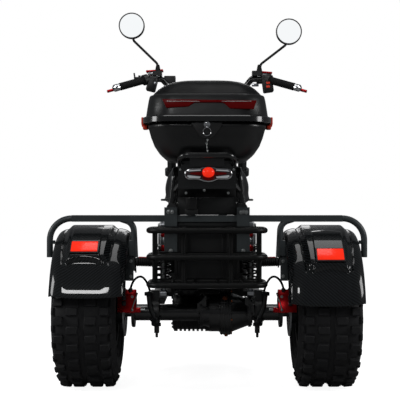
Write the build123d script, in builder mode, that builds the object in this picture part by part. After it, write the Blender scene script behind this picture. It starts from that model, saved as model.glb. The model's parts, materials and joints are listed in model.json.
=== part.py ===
"""Electric fat-tyre trike: one steered wheel in front, two driven wheels behind.

Millimetres. +X is the rider's right, +Y is forwards and +Z is up. The origin is on the floor, under
the middle of the machine's length and width. Every piece is built where it stands at rest.
"""
from build123d import *
from math import cos, radians, sin
import os

os.makedirs("parts", exist_ok=True)

# ---- Driving dimensions -------------------------------------------------------------------------
# Wheels and axles
TYRE_RADIUS = 231.0  # to the lugs' tips
REAR_Y = -661.0
WHEELBASE = 1380.0
FRONT_Y = REAR_Y + WHEELBASE
AXLE_Z = TYRE_RADIUS
HALF_TRACK = 368.0
FENDER_RADIUS = 275.0  # to the rear fenders' crowns
BEAD_RADIUS = 104.0
BEAD_RISE = 45.0  # from the bead to the side wall's widest line
TREAD_DEPTH = 8.0
TREAD_PITCHES = 26
LUG_LENGTH = 25.0
RIM_WALL = 6.0
RIM_FLANGE_HEIGHT = 12.0
HUB_RADIUS = 36.0
SPOKE_COUNT = 5
SPOKE_WIDTH = 34.0
SPOKE_THICKNESS = 16.0
DISC_THICKNESS = 4.0
DISC_HOLES = 10
DISC_HOLE_RADIUS = 5.0
DISC_HOLE_INSET = 13.0
REAR_DISC_RADIUS = 75.0
FRONT_DISC_RADIUS = 80.0
REAR_DISC_X = 258.0
DRIVE_SLEEVE_LENGTH = 48.0
FRONT_DISC_X = 114.0
SEAT_GAP = 0.3  # between a piece and the one that carries it
RUNNING_GAP = 0.4  # between a turning shaft and its bore
PAD_GAP = 2.5  # between a brake disc and its caliper

# Steering head and fork
RAKE = 28.0
FORK_OFFSET = 45.0
LEG_X = 152.0
LEG_LOWER_RADIUS = 25.0
LEG_UPPER_RADIUS = 19.0
LEG_LOWER_TOP = 330.0
LEG_TOP = 772.0
FRONT_AXLE_RADIUS = 7.5
CLAMP_THICKNESS = 25.0
LOWER_CLAMP_T = 530.0  # distances along the steering axis, from the level of the front axle
UPPER_CLAMP_T = 745.0
STEM_RADIUS = 14.5
HEAD_TUBE_RADIUS = 30.0

# Frame
RAIL_RADIUS = 19.0
RAIL_X = 100.0
RAIL_Z = 215.0
SEAT_RAIL_RADIUS = 15.0
SEAT_RAIL_X = 108.0
BUMPER_Z = AXLE_Z + FENDER_RADIUS + 22.0
SEAT_RAIL_Z = BUMPER_Z + 32.0  # the rails end on the bumper's plates
SEAT_RAIL_REAR_Y = REAR_Y - 110.0
SEAT_RAIL_FRONT_Y = -150.0
ARM_PIVOT_Y = REAR_Y + 330.0
ARM_PIVOT_Z = 262.0
ARM_PIVOT_RADIUS = 14.0

# Swing arms and shock absorbers
ARM_IN = 150.0
ARM_OUT = 174.0
SHOCK_X = 137.0
SHOCK_LOW_Z = AXLE_Z + 59.0
SHOCK_TOP_Z = SEAT_RAIL_Z - 55.0
SPRING_TOP_Z = SHOCK_TOP_Z - 67.0

# Rear axle
AXLE_TUBE_RADIUS = 26.0
AXLE_TUBE_END_X = 236.0
AXLE_FLANGE_RADIUS = 45.0
AXLE_FLANGE_THICKNESS = 8.0
DIFF_X = 58.0
WEB_WALL = 8.0
WEB_REACH = 88.0
HALF_SHAFT_RADIUS = 14.0
MOTOR_RADIUS = 62.0
MOTOR_LENGTH = 116.0
MOTOR_FIN_PITCH = 14
MOTOR_FIN_HEIGHT = 6.0
MOTOR_END_X = 8.0
MOTOR_Y = REAR_Y + 140.0
MOTOR_Z = AXLE_Z - 16.0

# Rear fenders, bumper and basket
FENDER_WALL = 4.0
FENDER_INNER_X = 238.0
FENDER_WIDTH = 224.0
FENDER_SHOULDER_DROP = 10.0  # from the crown's top to the plain skin beside it
FENDER_HEM_DROP = 36.0  # from the crown's top to the hem
CROWN_MIDDLE = 7.5  # outwards from the fender's middle
CROWN_HALF = 71.0
PANEL_MIDDLE = 12.5
PANEL_HALF = 44.5
PANEL_RISE = 3.0
BUMPER_BACK = 100.0  # behind the axle
BUMPER_Y = REAR_Y - BUMPER_BACK
BUMPER_TUBE = 20.0
BUMPER_HALF = 411.0
HOOP_RADIUS = 9.5
HOOP_OUTER_X = 478.5
HOOP_END_Z = BUMPER_Z - 118.0
PLATE_X = 110.0
PLATE_WIDTH = 39.0
PLATE_WALL = 4.0
BASKET_HALF = 167.5
BASKET_TUBE_RADIUS = 8.5
BASKET_REAR_Y = REAR_Y - 280.5
BASKET_RAILS = tuple(BUMPER_Z - drop for drop in (32.0, 109.0, 189.0))
BASKET_POSTS = (-68.0, 68.0)
BASKET_RODS = (-101.0, -34.0, 34.0, 101.0)
BASKET_CORNER = 40.0
BASKET_POST_RADIUS = 6.0
BASKET_ROD_RADIUS = 5.0
TAIL_PLATE_Y = REAR_Y - 231.0

# Battery case, deck and saddle
CASE_HALF = 100.0
CASE_BOTTOM = 325.0
CASE_TOP = SEAT_RAIL_Z - 43.0
DECK_HALF = 165.0
DECK_WALL = 6.0
DECK_REAR_Y = -138.0
DECK_FRONT_Y = FRONT_Y - 457.0
SADDLE_HALF = 160.0
SADDLE_REAR_Y = REAR_Y + 97.0
SADDLE_FRONT_Y = -20.0

# Rack and top box
RACK_Z = SEAT_RAIL_Z + 115.0
BOX_Y = REAR_Y - 90.0
BOX_BOTTOM = RACK_Z + 25.0
BOX_SEAM = BOX_BOTTOM + 108.0
BOX_WALL = 4.0

# Handlebar and headlamp
BAR_RADIUS = 12.0
BAR_Y = FRONT_Y - 371.0
BAR_Z = 935.0
GRIP_Z = BAR_Z + 152.0  # the handlebar's height beside the grips
LAMP_POST_AHEAD = 70.0  # ahead of the steering axis
LAMP_AHEAD = 175.0
LAMP_T = 650.0
LAMP_RADIUS = 80.0
GRIP_RADIUS = 16.5
MIRROR_RADIUS = 52.5


# ---- Frames of reference --------------------------------------------------------------------------
def steering_frame():
    """Local z runs up the steering axis, local y is the fork's forward offset, x is the rider's right."""
    up = Vector(0, -sin(radians(RAKE)), cos(radians(RAKE)))
    ahead = Vector(0, cos(radians(RAKE)), sin(radians(RAKE)))
    base = Vector(0, FRONT_Y, AXLE_Z) - ahead * FORK_OFFSET
    return Plane(origin=base, x_dir=(1, 0, 0), z_dir=up)


STEERING = steering_frame()


def axle_plane(x, y, degrees=90.0):
    """A plane through an axle at x: local x is +X, local y is outwards, degrees above the rear horizon."""
    angle = radians(degrees)
    return Plane(origin=(x, y, AXLE_Z), x_dir=(1, 0, 0), z_dir=(0, -sin(angle), -cos(angle)))


def side_plane(x):
    """A fore-and-aft plane: local x is +Y, local y is +Z, and it faces +X."""
    return Plane(origin=(x, 0, 0), x_dir=(0, 1, 0), z_dir=(1, 0, 0))


def fork_point(x, ahead, along):
    """The point at x, ahead of the steering axis and along it."""
    return STEERING.from_local_coords(Vector(x, ahead, along))


# ---- Shapes that repeat ---------------------------------------------------------------------------
def bent_bar(points, bend, radius):
    """Adds a round bar along straight runs, joined by arcs of the radius bend."""
    corners = [Vector(*point) for point in points]
    with BuildLine() as route:
        if len(corners) == 2:
            Line(*corners)
        else:
            FilletPolyline(*corners, radius=bend)
    with BuildSketch(Plane(origin=corners[0], z_dir=corners[1] - corners[0])) as section:
        Circle(radius)
    sweep(sections=section.sketch, path=route.line)


def cross_bar(y, z, half_length, radius):
    """Adds a round bar across the machine."""
    bent_bar([(-half_length, y, z), (half_length, y, z)], None, radius)


def ring(plane, radius_out, start, end, radius_in=0.0, centre=(0.0, 0.0)):
    """Adds a round plate or sleeve, from start to end along the plane's normal."""
    with BuildSketch(plane.offset(start)) as section:
        with Locations(centre):
            Circle(radius_out)
            if radius_in:
                Circle(radius_in, mode=Mode.SUBTRACT)
    extrude(section.sketch, amount=end - start)


def slab(low, high, mode=Mode.ADD):
    """Adds or cuts a block between two corners."""
    size = [b - a for a, b in zip(low, high)]
    middle = [(a + b) / 2 for a, b in zip(low, high)]
    with Locations(tuple(middle)):
        Box(*size, mode=mode)


def finish(piece, name):
    """Labels a piece and writes it."""
    piece.part.label = name
    export_step(piece.part, f"parts/{name}.step")


# ---- Wheels ---------------------------------------------------------------------------------------
# name, centre x, axle y, side the hub's inner end faces, tyre width, rim width, hub's inner end, outer end
WHEELS = (
    ("front", 0.0, FRONT_Y, -1, 212.0, 166.0, 112.0, 112.0),
    ("rear_left", -HALF_TRACK, REAR_Y, 1, 190.0, 150.0, HALF_TRACK - 260.0, 60.0),
    ("rear_right", HALF_TRACK, REAR_Y, -1, 190.0, 150.0, HALF_TRACK - 260.0, 60.0),
)

# middle of a row from the tyre's centre line, width of its lugs, first lug's place round the pitch
CENTRE_LUGS = (27.0, 36.0, 0.0)
SHOULDER_LUGS = (68.0, 28.0, 0.5)
TREAD_ROWS = {"front": (CENTRE_LUGS, SHOULDER_LUGS), "rear_left": (CENTRE_LUGS,), "rear_right": (CENTRE_LUGS,)}
TREAD_BASE = TYRE_RADIUS - TREAD_DEPTH


def carcass(x, y, tyre_width, seat):
    """Adds a tyre without lugs: a faceted tread band, two to a pitch, on round beads."""
    half = tyre_width / 2
    # distance inwards from the side wall, drop from the tread
    shoulders = ((0.0, 42.0), (14.0, 12.0), (42.0, 0.0))
    stations = [(inset - half, drop) for inset, drop in shoulders]
    stations += [(half - inset, drop) for inset, drop in reversed(shoulders)]
    facing = Plane(origin=(x, y, AXLE_Z), x_dir=(0, 1, 0), z_dir=(1, 0, 0))
    facets = 2 * TREAD_PITCHES
    layers = []
    for across, drop in stations:
        with BuildSketch(facing.offset(across)) as layer:
            RegularPolygon(TREAD_BASE - drop, facets, major_radius=False, rotation=180 / facets)
        layers.append(layer.sketch)
    loft(sections=layers, ruled=True)
    flank = BEAD_RADIUS + BEAD_RISE
    flange = BEAD_RADIUS + RIM_FLANGE_HEIGHT
    with BuildSketch(axle_plane(x, y)) as core:
        with BuildLine():
            Polyline(
                (-half - 1, 0),
                (-half - 1, flank),
                (-half, flank),
                (-seat, flange),
                (-seat, BEAD_RADIUS),
                (seat, BEAD_RADIUS),
                (seat, flange),
                (half, flank),
                (half + 1, flank),
                (half + 1, 0),
                close=True,
            )
        make_face()
    revolve(core.sketch, axis=Axis((0, y, AXLE_Z), (1, 0, 0)), mode=Mode.SUBTRACT)


def lug_row(x, y, middle, width, phase):
    """Adds a row of lugs on each side of the centre line, half a pitch apart."""
    feet = []
    for side in (-1, 1):
        for index in range(TREAD_PITCHES):
            place = index + phase + (0.5 if side > 0 else 0.0)
            turn = axle_plane(x, y, 360 / TREAD_PITCHES * place)
            spot = turn.origin + turn.x_dir * (side * middle) + turn.y_dir * TREAD_BASE
            feet.append(Plane(origin=spot, x_dir=turn.x_dir, z_dir=turn.y_dir))
    with Locations(*feet):
        Box(width, LUG_LENGTH, 2 * TREAD_DEPTH)


for name, wheel_x, wheel_y, inner_side, tyre_width, rim_width, hub_in, hub_out in WHEELS:
    spin_axis = Axis((0, wheel_y, AXLE_Z), (1, 0, 0))
    seat = rim_width / 2
    with BuildPart() as tyre:
        carcass(wheel_x, wheel_y, tyre_width, seat - SEAT_GAP)
        for middle, width, phase in TREAD_ROWS[name]:
            lug_row(wheel_x, wheel_y, middle, width, phase)
    finish(tyre, f"{name}_tyre")

    barrel = BEAD_RADIUS - SEAT_GAP
    with BuildPart() as rim:
        with BuildSketch(axle_plane(wheel_x, wheel_y)):
            with BuildLine():
                Polyline(
                    (-seat - RIM_WALL, barrel - RIM_WALL),
                    (-seat - RIM_WALL, barrel + RIM_FLANGE_HEIGHT),
                    (-seat, barrel + RIM_FLANGE_HEIGHT),
                    (-seat, barrel),
                    (seat, barrel),
                    (seat, barrel + RIM_FLANGE_HEIGHT),
                    (seat + RIM_WALL, barrel + RIM_FLANGE_HEIGHT),
                    (seat + RIM_WALL, barrel - RIM_WALL),
                    close=True,
                )
            make_face()
        revolve(axis=spin_axis)
        hub_plane = Plane(origin=(wheel_x, wheel_y, AXLE_Z), x_dir=(0, 1, 0), z_dir=(inner_side, 0, 0))
        ring(hub_plane, HUB_RADIUS, -hub_out, hub_in)
        spoke_reach = barrel - RIM_WALL / 2
        with BuildSketch(hub_plane.offset(-SPOKE_THICKNESS - seat / 2)) as spokes:
            with PolarLocations(spoke_reach / 2, SPOKE_COUNT):
                Rectangle(spoke_reach, SPOKE_WIDTH)
        extrude(spokes.sketch, amount=SPOKE_THICKNESS)
        if name == "front":
            with BuildSketch(hub_plane.offset(-hub_out)) as bore:
                Circle(FRONT_AXLE_RADIUS + RUNNING_GAP)
            extrude(bore.sketch, amount=hub_in + hub_out, mode=Mode.SUBTRACT)
        else:
            ring(hub_plane, HALF_SHAFT_RADIUS, hub_in, hub_in + DRIVE_SLEEVE_LENGTH)
    finish(rim, f"{name}_rim")

    disc_out = FRONT_DISC_RADIUS if name == "front" else REAR_DISC_RADIUS
    disc_bore = 20.0 if name == "front" else HALF_SHAFT_RADIUS + SEAT_GAP
    with BuildPart() as disc:
        ring(hub_plane, disc_out, hub_in, hub_in + DISC_THICKNESS, disc_bore)
        with BuildSketch(hub_plane.offset(hub_in)) as holes:
            with PolarLocations(disc_out - DISC_HOLE_INSET, DISC_HOLES):
                Circle(DISC_HOLE_RADIUS)
        extrude(holes.sketch, amount=DISC_THICKNESS, mode=Mode.SUBTRACT)
    finish(disc, f"{name}_disc")

# ---- Main frame -----------------------------------------------------------------------------------
with BuildPart() as main_frame:
    ring(STEERING, HEAD_TUBE_RADIUS, LOWER_CLAMP_T + CLAMP_THICKNESS + 0.6, UPPER_CLAMP_T - 0.6)
    head = fork_point(0, 0, 640)
    for side in (-1, 1):
        bent_bar(
            [
                (side * 20, head.Y, head.Z),
                (side * 62, FRONT_Y - 357, SEAT_RAIL_Z),
                (side * RAIL_X, FRONT_Y - 389, RAIL_Z),
                (side * RAIL_X, -170, RAIL_Z),
                (side * 125, -300, 330),
                (side * 120, -450, SEAT_RAIL_Z - 4),
            ],
            70,
            RAIL_RADIUS - 2,
        )
        bent_bar(
            [(side * SEAT_RAIL_X, SEAT_RAIL_REAR_Y, SEAT_RAIL_Z), (side * SEAT_RAIL_X, SEAT_RAIL_FRONT_Y, SEAT_RAIL_Z)],
            None,
            SEAT_RAIL_RADIUS,
        )
        # the shock's upper bracket and bolt
        slab(
            (min(side * 112, side * 126), REAR_Y - 20, SHOCK_TOP_Z - 13),
            (max(side * 112, side * 126), REAR_Y + 20, SEAT_RAIL_Z),
        )
        bent_bar([(side * 120, REAR_Y, SHOCK_TOP_Z), (side * 147, REAR_Y, SHOCK_TOP_Z)], None, 6)
        # a hanger down to the battery case
        slab(
            (min(side * 84, side * 96), REAR_Y - 70, CASE_TOP + SEAT_GAP),
            (max(side * 84, side * 96), REAR_Y - 30, SEAT_RAIL_Z),
        )
        # the swing arm's pivot bracket
        slab(
            (min(side * 112, side * 124), ARM_PIVOT_Y - 20, ARM_PIVOT_Z - 20),
            (max(side * 112, side * 124), ARM_PIVOT_Y + 60, 330),
        )
    cross_bar(ARM_PIVOT_Y, ARM_PIVOT_Z, 182, ARM_PIVOT_RADIUS)
    cross_bar(-300, CASE_BOTTOM - SEAT_GAP - 12, 125, 12)
    for y in (SEAT_RAIL_FRONT_Y, -340, -560, -640):
        cross_bar(y, SEAT_RAIL_Z, SEAT_RAIL_X, 12)
    for y in (DECK_FRONT_Y - 2, -120):
        cross_bar(y, RAIL_Z, RAIL_X, 14)
    with BuildSketch(STEERING.offset(LOWER_CLAMP_T)) as stem_bore:
        Circle(STEM_RADIUS + 0.5)
    extrude(stem_bore.sketch, amount=UPPER_CLAMP_T - LOWER_CLAMP_T + 40, mode=Mode.SUBTRACT)
finish(main_frame, "main_frame")

# ---- Battery case, deck and saddle ------------------------------------------------------------------
with BuildPart() as battery_case:
    with BuildSketch(side_plane(-CASE_HALF)):
        with BuildLine():
            Polyline(
                (REAR_Y - 88, CASE_BOTTOM),
                (REAR_Y - 88, CASE_TOP),
                (-225, CASE_TOP),
                (-200, CASE_TOP - 25),
                (-215, CASE_BOTTOM + 60),
                (-270, CASE_BOTTOM),
                close=True,
            )
        make_face()
    extrude(amount=2 * CASE_HALF)
finish(battery_case, "battery_case")

with BuildPart() as deck:
    top = RAIL_Z + RAIL_RADIUS - 2 + 0.2 + DECK_WALL
    slab((-DECK_HALF, DECK_REAR_Y, top - DECK_WALL), (DECK_HALF, DECK_FRONT_Y, top))
    for side in (-1, 1):
        edge = side * DECK_HALF
        inner = side * (DECK_HALF - DECK_WALL)
        slab((min(edge, inner), DECK_REAR_Y, top - 40), (max(edge, inner), DECK_FRONT_Y, top))
finish(deck, "deck")

with BuildPart() as saddle:
    pan = SEAT_RAIL_Z + SEAT_RAIL_RADIUS + SEAT_GAP
    with BuildSketch(side_plane(-SADDLE_HALF)):
        with BuildLine():
            Polyline(
                (SADDLE_REAR_Y, pan),
                (SADDLE_REAR_Y, pan + 119.7),
                (SADDLE_REAR_Y + 30, pan + 136.7),
                (SADDLE_REAR_Y + 190, pan + 124.7),
                (SADDLE_REAR_Y + 240, pan + 84.7),
                (SADDLE_FRONT_Y - 60, pan + 79.7),
                (SADDLE_FRONT_Y, pan + 49.7),
                (SADDLE_FRONT_Y - 20, pan),
                close=True,
            )
        make_face()
    extrude(amount=2 * SADDLE_HALF)
    with BuildSketch(Plane.XY.offset(pan - 1)):
        with BuildLine():
            Polyline(
                (-SADDLE_HALF + 40, SADDLE_REAR_Y),
                (-SADDLE_HALF + 5, SADDLE_REAR_Y + 60),
                (-SADDLE_HALF, SADDLE_REAR_Y + 200),
                (-SADDLE_HALF + 60, SADDLE_FRONT_Y - 120),
                (-SADDLE_HALF + 100, SADDLE_FRONT_Y),
                (SADDLE_HALF - 100, SADDLE_FRONT_Y),
                (SADDLE_HALF - 60, SADDLE_FRONT_Y - 120),
                (SADDLE_HALF, SADDLE_REAR_Y + 200),
                (SADDLE_HALF - 5, SADDLE_REAR_Y + 60),
                (SADDLE_HALF - 40, SADDLE_REAR_Y),
                close=True,
            )
        make_face()
    extrude(amount=200, mode=Mode.INTERSECT)
finish(saddle, "saddle")

# ---- Rear axle --------------------------------------------------------------------------------------
with BuildPart() as axle_housing:
    with BuildSketch(axle_plane(0, REAR_Y)):
        with BuildLine():
            Polyline(
                (-AXLE_TUBE_END_X, 0),
                (-AXLE_TUBE_END_X, AXLE_FLANGE_RADIUS),
                (-AXLE_TUBE_END_X + AXLE_FLANGE_THICKNESS, AXLE_FLANGE_RADIUS),
                (-AXLE_TUBE_END_X + AXLE_FLANGE_THICKNESS, AXLE_TUBE_RADIUS),
                (DIFF_X - 78, AXLE_TUBE_RADIUS),
                (DIFF_X - 78, 43),
                (DIFF_X - 62, 43),
                (DIFF_X - 18, 62),
                (DIFF_X - 17, 69),
                (DIFF_X + 17, 69),
                (DIFF_X + 18, 62),
                (DIFF_X + 68, 43),
                (DIFF_X + 78, 43),
                (DIFF_X + 78, AXLE_TUBE_RADIUS),
                (AXLE_TUBE_END_X - AXLE_FLANGE_THICKNESS, AXLE_TUBE_RADIUS),
                (AXLE_TUBE_END_X - AXLE_FLANGE_THICKNESS, AXLE_FLANGE_RADIUS),
                (AXLE_TUBE_END_X, AXLE_FLANGE_RADIUS),
                (AXLE_TUBE_END_X, 0),
                close=True,
            )
        make_face()
    revolve(axis=Axis((0, REAR_Y, AXLE_Z), (1, 0, 0)))
    # thin webs from the axle tube up to the differential's bells
    for side in (-1, 1):
        with BuildSketch(Plane(origin=(0, REAR_Y + WEB_WALL / 2, 0), x_dir=(1, 0, 0), z_dir=(0, -1, 0))) as web:
            with BuildLine():
                Polyline(
                    (DIFF_X + side * 60, AXLE_Z),
                    (DIFF_X + side * WEB_REACH, AXLE_Z),
                    (DIFF_X + side * WEB_REACH, AXLE_Z + AXLE_TUBE_RADIUS + 4),
                    (DIFF_X + side * 60, AXLE_Z + 52),
                    close=True,
                )
            make_face()
        extrude(web.sketch, amount=WEB_WALL)
    # the reduction gear's case, from the differential forwards to the motor
    with BuildSketch(side_plane(MOTOR_END_X)):
        with Locations((REAR_Y, AXLE_Z)):
            Circle(60)
        with Locations((MOTOR_Y, MOTOR_Z)):
            Circle(MOTOR_RADIUS)
        with BuildLine():
            Polyline(
                (REAR_Y, AXLE_Z + 60),
                (MOTOR_Y, MOTOR_Z + MOTOR_RADIUS),
                (MOTOR_Y, MOTOR_Z - MOTOR_RADIUS),
                (REAR_Y, AXLE_Z - 60),
                close=True,
            )
        make_face()
    extrude(amount=40)
    for side in (-1, 1):
        bore_plane = Plane(origin=(side * AXLE_TUBE_END_X, REAR_Y, AXLE_Z), z_dir=(-side, 0, 0))
        with BuildSketch(bore_plane) as bore:
            Circle(HALF_SHAFT_RADIUS + RUNNING_GAP)
        extrude(bore.sketch, amount=40, mode=Mode.SUBTRACT)
finish(axle_housing, "axle_housing")

with BuildPart() as drive_motor:
    motor_plane = Plane(origin=(MOTOR_END_X, MOTOR_Y, MOTOR_Z), x_dir=(0, 1, 0), z_dir=(-1, 0, 0))
    ring(motor_plane, MOTOR_RADIUS, 0, MOTOR_LENGTH)
    for start in range(MOTOR_FIN_PITCH, int(MOTOR_LENGTH) - MOTOR_FIN_PITCH, MOTOR_FIN_PITCH):
        with BuildSketch(motor_plane.offset(start)) as groove:
            Circle(MOTOR_RADIUS + 1)
            Circle(MOTOR_RADIUS - MOTOR_FIN_HEIGHT, mode=Mode.SUBTRACT)
        extrude(groove.sketch, amount=MOTOR_FIN_PITCH / 2, mode=Mode.SUBTRACT)
finish(drive_motor, "drive_motor")

with BuildPart() as swing_arms:
    for side in (-1, 1):
        start = side * ARM_IN if side > 0 else -ARM_OUT
        with BuildSketch(side_plane(start)) as arm:
            with Locations((REAR_Y, AXLE_Z)):
                Circle(42)
            with Locations((ARM_PIVOT_Y, ARM_PIVOT_Z)):
                Circle(28)
            with BuildLine():
                Polyline(
                    (REAR_Y, AXLE_Z + 42),
                    (ARM_PIVOT_Y, ARM_PIVOT_Z + 28),
                    (ARM_PIVOT_Y, ARM_PIVOT_Z - 28),
                    (REAR_Y, AXLE_Z - 42),
                    close=True,
                )
            make_face()
            with Locations((REAR_Y, AXLE_Z + 40)):
                Rectangle(40, 60)
            with Locations((REAR_Y, AXLE_Z)):
                Circle(AXLE_TUBE_RADIUS + SEAT_GAP, mode=Mode.SUBTRACT)
            with Locations((ARM_PIVOT_Y, ARM_PIVOT_Z)):
                Circle(ARM_PIVOT_RADIUS + SEAT_GAP, mode=Mode.SUBTRACT)
        extrude(arm.sketch, amount=ARM_OUT - ARM_IN)
        # the curved link behind the axle, with its stud
        bent_bar(
            [
                (side * 182, REAR_Y - 44, AXLE_Z + 69),
                (side * 176, REAR_Y - 44, AXLE_Z + 19),
                (side * 156, REAR_Y - 44, AXLE_Z - 26),
                (side * 156, REAR_Y - 44, AXLE_Z - 59),
            ],
            18,
            8,
        )
        bent_bar([(side * (SHOCK_X - 10), REAR_Y, SHOCK_LOW_Z), (side * (ARM_IN + 4), REAR_Y, SHOCK_LOW_Z)], None, 6)
finish(swing_arms, "swing_arms")

with BuildPart() as shocks:
    for side in (-1, 1):
        for eye_z in (SHOCK_LOW_Z, SHOCK_TOP_Z):
            eye_plane = Plane(origin=(side * SHOCK_X, REAR_Y, eye_z), z_dir=(1, 0, 0))
            ring(eye_plane, 13, -9.5, 9.5, 6 + SEAT_GAP)
        up = Plane.XY.offset(0)
        centre = (side * SHOCK_X, REAR_Y)
        ring(up, 7, SHOCK_LOW_Z + 9, SHOCK_TOP_Z - 60, 0, centre)
        ring(up, 26, SHOCK_LOW_Z + 18, SHOCK_LOW_Z + 26, 0, centre)
        ring(up, 17, SHOCK_TOP_Z - 105, SHOCK_TOP_Z - 27, 0, centre)
        ring(up, 7, SHOCK_TOP_Z - 28, SHOCK_TOP_Z - 9, 0, centre)
        ring(up, 26, SPRING_TOP_Z, SPRING_TOP_Z + 8, 0, centre)
        reservoir = (side * (SHOCK_X - 12), REAR_Y - 44)
        ring(up, 17.5, SHOCK_TOP_Z - 93, SHOCK_TOP_Z - 22, 0, reservoir)
        slab(
            (min(side * (SHOCK_X - 17), side * (SHOCK_X + 5)), REAR_Y - 44, SHOCK_TOP_Z - 35),
            (max(side * (SHOCK_X - 17), side * (SHOCK_X + 5)), REAR_Y, SHOCK_TOP_Z - 22),
        )
finish(shocks, "shocks")

COIL_TURNS = 6
COIL_RADIUS = 27.0
COIL_ROOT = 5.0  # how far the sleeve drops between the coils
COIL_BORE = 18.5
with BuildPart() as shock_springs:
    low = SHOCK_LOW_Z + 26 + SEAT_GAP
    high = SPRING_TOP_Z - SEAT_GAP
    pitch = (high - low) / COIL_TURNS
    for side in (-1, 1):
        spring_plane = Plane(origin=(side * SHOCK_X, REAR_Y, 0), x_dir=(1, 0, 0), z_dir=(0, -1, 0))
        outline = [(COIL_BORE, low), (COIL_RADIUS - COIL_ROOT, low)]
        for turn in range(COIL_TURNS):
            middle = low + pitch * (turn + 0.5)
            outline += [(COIL_RADIUS, middle - 3), (COIL_RADIUS, middle + 3)]
            outline += [(COIL_RADIUS - COIL_ROOT, low + pitch * (turn + 1))]
        outline += [(COIL_BORE, high)]
        with BuildSketch(spring_plane) as coil:
            with BuildLine():
                Polyline(*outline, close=True)
            make_face()
        revolve(coil.sketch, axis=Axis((side * SHOCK_X, REAR_Y, 0), (0, 0, 1)))
finish(shock_springs, "shock_springs")

CALIPER_ANGLE = 6.0
CALIPER_ARC = 48.0
WINDOW_SIZE = (14.0, 26.0)
with BuildPart() as rear_calipers:
    for side in (-1, 1):
        inner = REAR_DISC_X - DISC_THICKNESS / 2 - PAD_GAP
        outer = REAR_DISC_X + DISC_THICKNESS / 2 + PAD_GAP
        with BuildSketch(axle_plane(0, REAR_Y, CALIPER_ANGLE)) as jaw:
            with BuildLine():
                Polyline(
                    (side * 218, AXLE_FLANGE_RADIUS + SEAT_GAP),
                    (side * 218, 96),
                    (side * 274, 96),
                    (side * 274, AXLE_FLANGE_RADIUS + 8),
                    (side * outer, AXLE_FLANGE_RADIUS + 8),
                    (side * outer, REAR_DISC_RADIUS + 5),
                    (side * inner, REAR_DISC_RADIUS + 5),
                    (side * inner, AXLE_FLANGE_RADIUS + SEAT_GAP),
                    close=True,
                )
            make_face()
        revolve(jaw.sketch, axis=Axis((0, REAR_Y, AXLE_Z), (-1, 0, 0)), revolution_arc=CALIPER_ARC)
        # the window through its back, over the pads
        window = Vector(side * (REAR_DISC_X - DISC_THICKNESS / 2), REAR_Y, AXLE_Z)
        pad_angle = radians(CALIPER_ANGLE + CALIPER_ARC / 2)
        outwards = Vector(0, -cos(pad_angle), sin(pad_angle))
        with BuildSketch(Plane(origin=window + outwards * 70, x_dir=(1, 0, 0), z_dir=outwards)) as opening:
            Rectangle(WINDOW_SIZE[0], WINDOW_SIZE[1])
        extrude(opening.sketch, amount=40, mode=Mode.SUBTRACT)
        hose_union = (side * 236, REAR_Y - 60)
        ring(Plane.XY, 5, AXLE_Z + 70, AXLE_Z + 80 - SEAT_GAP, 0, hose_union)
finish(rear_calipers, "rear_calipers")

# ---- Rear fenders ------------------------------------------------------------------------------------
# name, side, angle of the rear edge above the axle's level, angle of its reflector, arc
FENDERS = (
    ("rear_fender_left", -1, 15.0, 49.5, 138.0),
    ("rear_fender_right", 1, 10.0, 43.1, 138.0),
)
CROWN_START = -9.0  # degrees from the reflector to the crown's rounded end
PANEL_ARC = (-7.0, 26.0)


def plain_skin(inset):
    """Half of the plain section as across and radius, from the hem inwards, inset by a wall."""
    half = FENDER_WIDTH / 2 - inset
    hem = FENDER_RADIUS - FENDER_HEM_DROP
    top = FENDER_RADIUS - FENDER_SHOULDER_DROP - inset
    return [(half, hem), (half, top - 21 + inset / 2), (half - 6, top - 11), (half - 20, top - 4), (half - 43, top)]


def crown_skin(inset):
    """The crowned section's outer half, then its inner half, inset by a wall."""
    top = FENDER_RADIUS - inset
    skin = []
    for side in (1, -1):
        foot = side * CROWN_MIDDLE + CROWN_HALF
        valley = FENDER_RADIUS - FENDER_SHOULDER_DROP - 5.5 - inset
        rise = [(foot + 2 - inset / 2, valley), (foot - 14 - inset / 2, top)]
        half = [(side * across, up) for across, up in plain_skin(inset)[:-1] + rise]
        skin += half if side > 0 else list(reversed(half))
    return skin


def swept_skin(x, side, angle, arc, outer, inner):
    """Adds the shell between two skins, each from the outer hem to the inner one."""
    with BuildSketch(axle_plane(x, REAR_Y, angle)) as section:
        with BuildLine():
            Polyline(*[(side * across, up) for across, up in outer + list(reversed(inner))], close=True)
        make_face()
    revolve(section.sketch, axis=Axis((0, REAR_Y, AXLE_Z), (-1, 0, 0)), revolution_arc=arc)


for name, side, rear_angle, reflector_angle, arc in FENDERS:
    middle = side * (FENDER_INNER_X + FENDER_WIDTH / 2)
    plain = [plain_skin(inset) for inset in (0.0, FENDER_WALL)]
    lower = [skin + [(-across, up) for across, up in reversed(skin)] for skin in plain]
    crown_angle = reflector_angle + CROWN_START
    crown_low, crown_high = CROWN_MIDDLE - CROWN_HALF + 14, CROWN_MIDDLE + CROWN_HALF - 14
    roof = FENDER_RADIUS - FENDER_SHOULDER_DROP - FENDER_WALL / 2
    with BuildPart() as fender:
        swept_skin(middle, side, rear_angle, crown_angle - rear_angle, *lower)
        swept_skin(middle, side, crown_angle, arc + rear_angle - crown_angle, crown_skin(0.0), crown_skin(FENDER_WALL))
        # the crown's end, then the panel that carries the reflector
        blocks = (
            (crown_low, crown_high, roof, FENDER_RADIUS, 0.0, 1.5),
            (
                PANEL_MIDDLE - PANEL_HALF,
                PANEL_MIDDLE + PANEL_HALF,
                FENDER_RADIUS - 1,
                FENDER_RADIUS + PANEL_RISE,
                PANEL_ARC[0] - CROWN_START,
                PANEL_ARC[1] - CROWN_START,
            ),
        )
        for inner, outer, low, high, start, end in blocks:
            ends = [(outer, low), (outer, high), (inner, high), (inner, low)]
            swept_skin(middle, side, crown_angle + start, end - start, ends[:2], list(reversed(ends[2:])))
    finish(fender, name)

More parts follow.
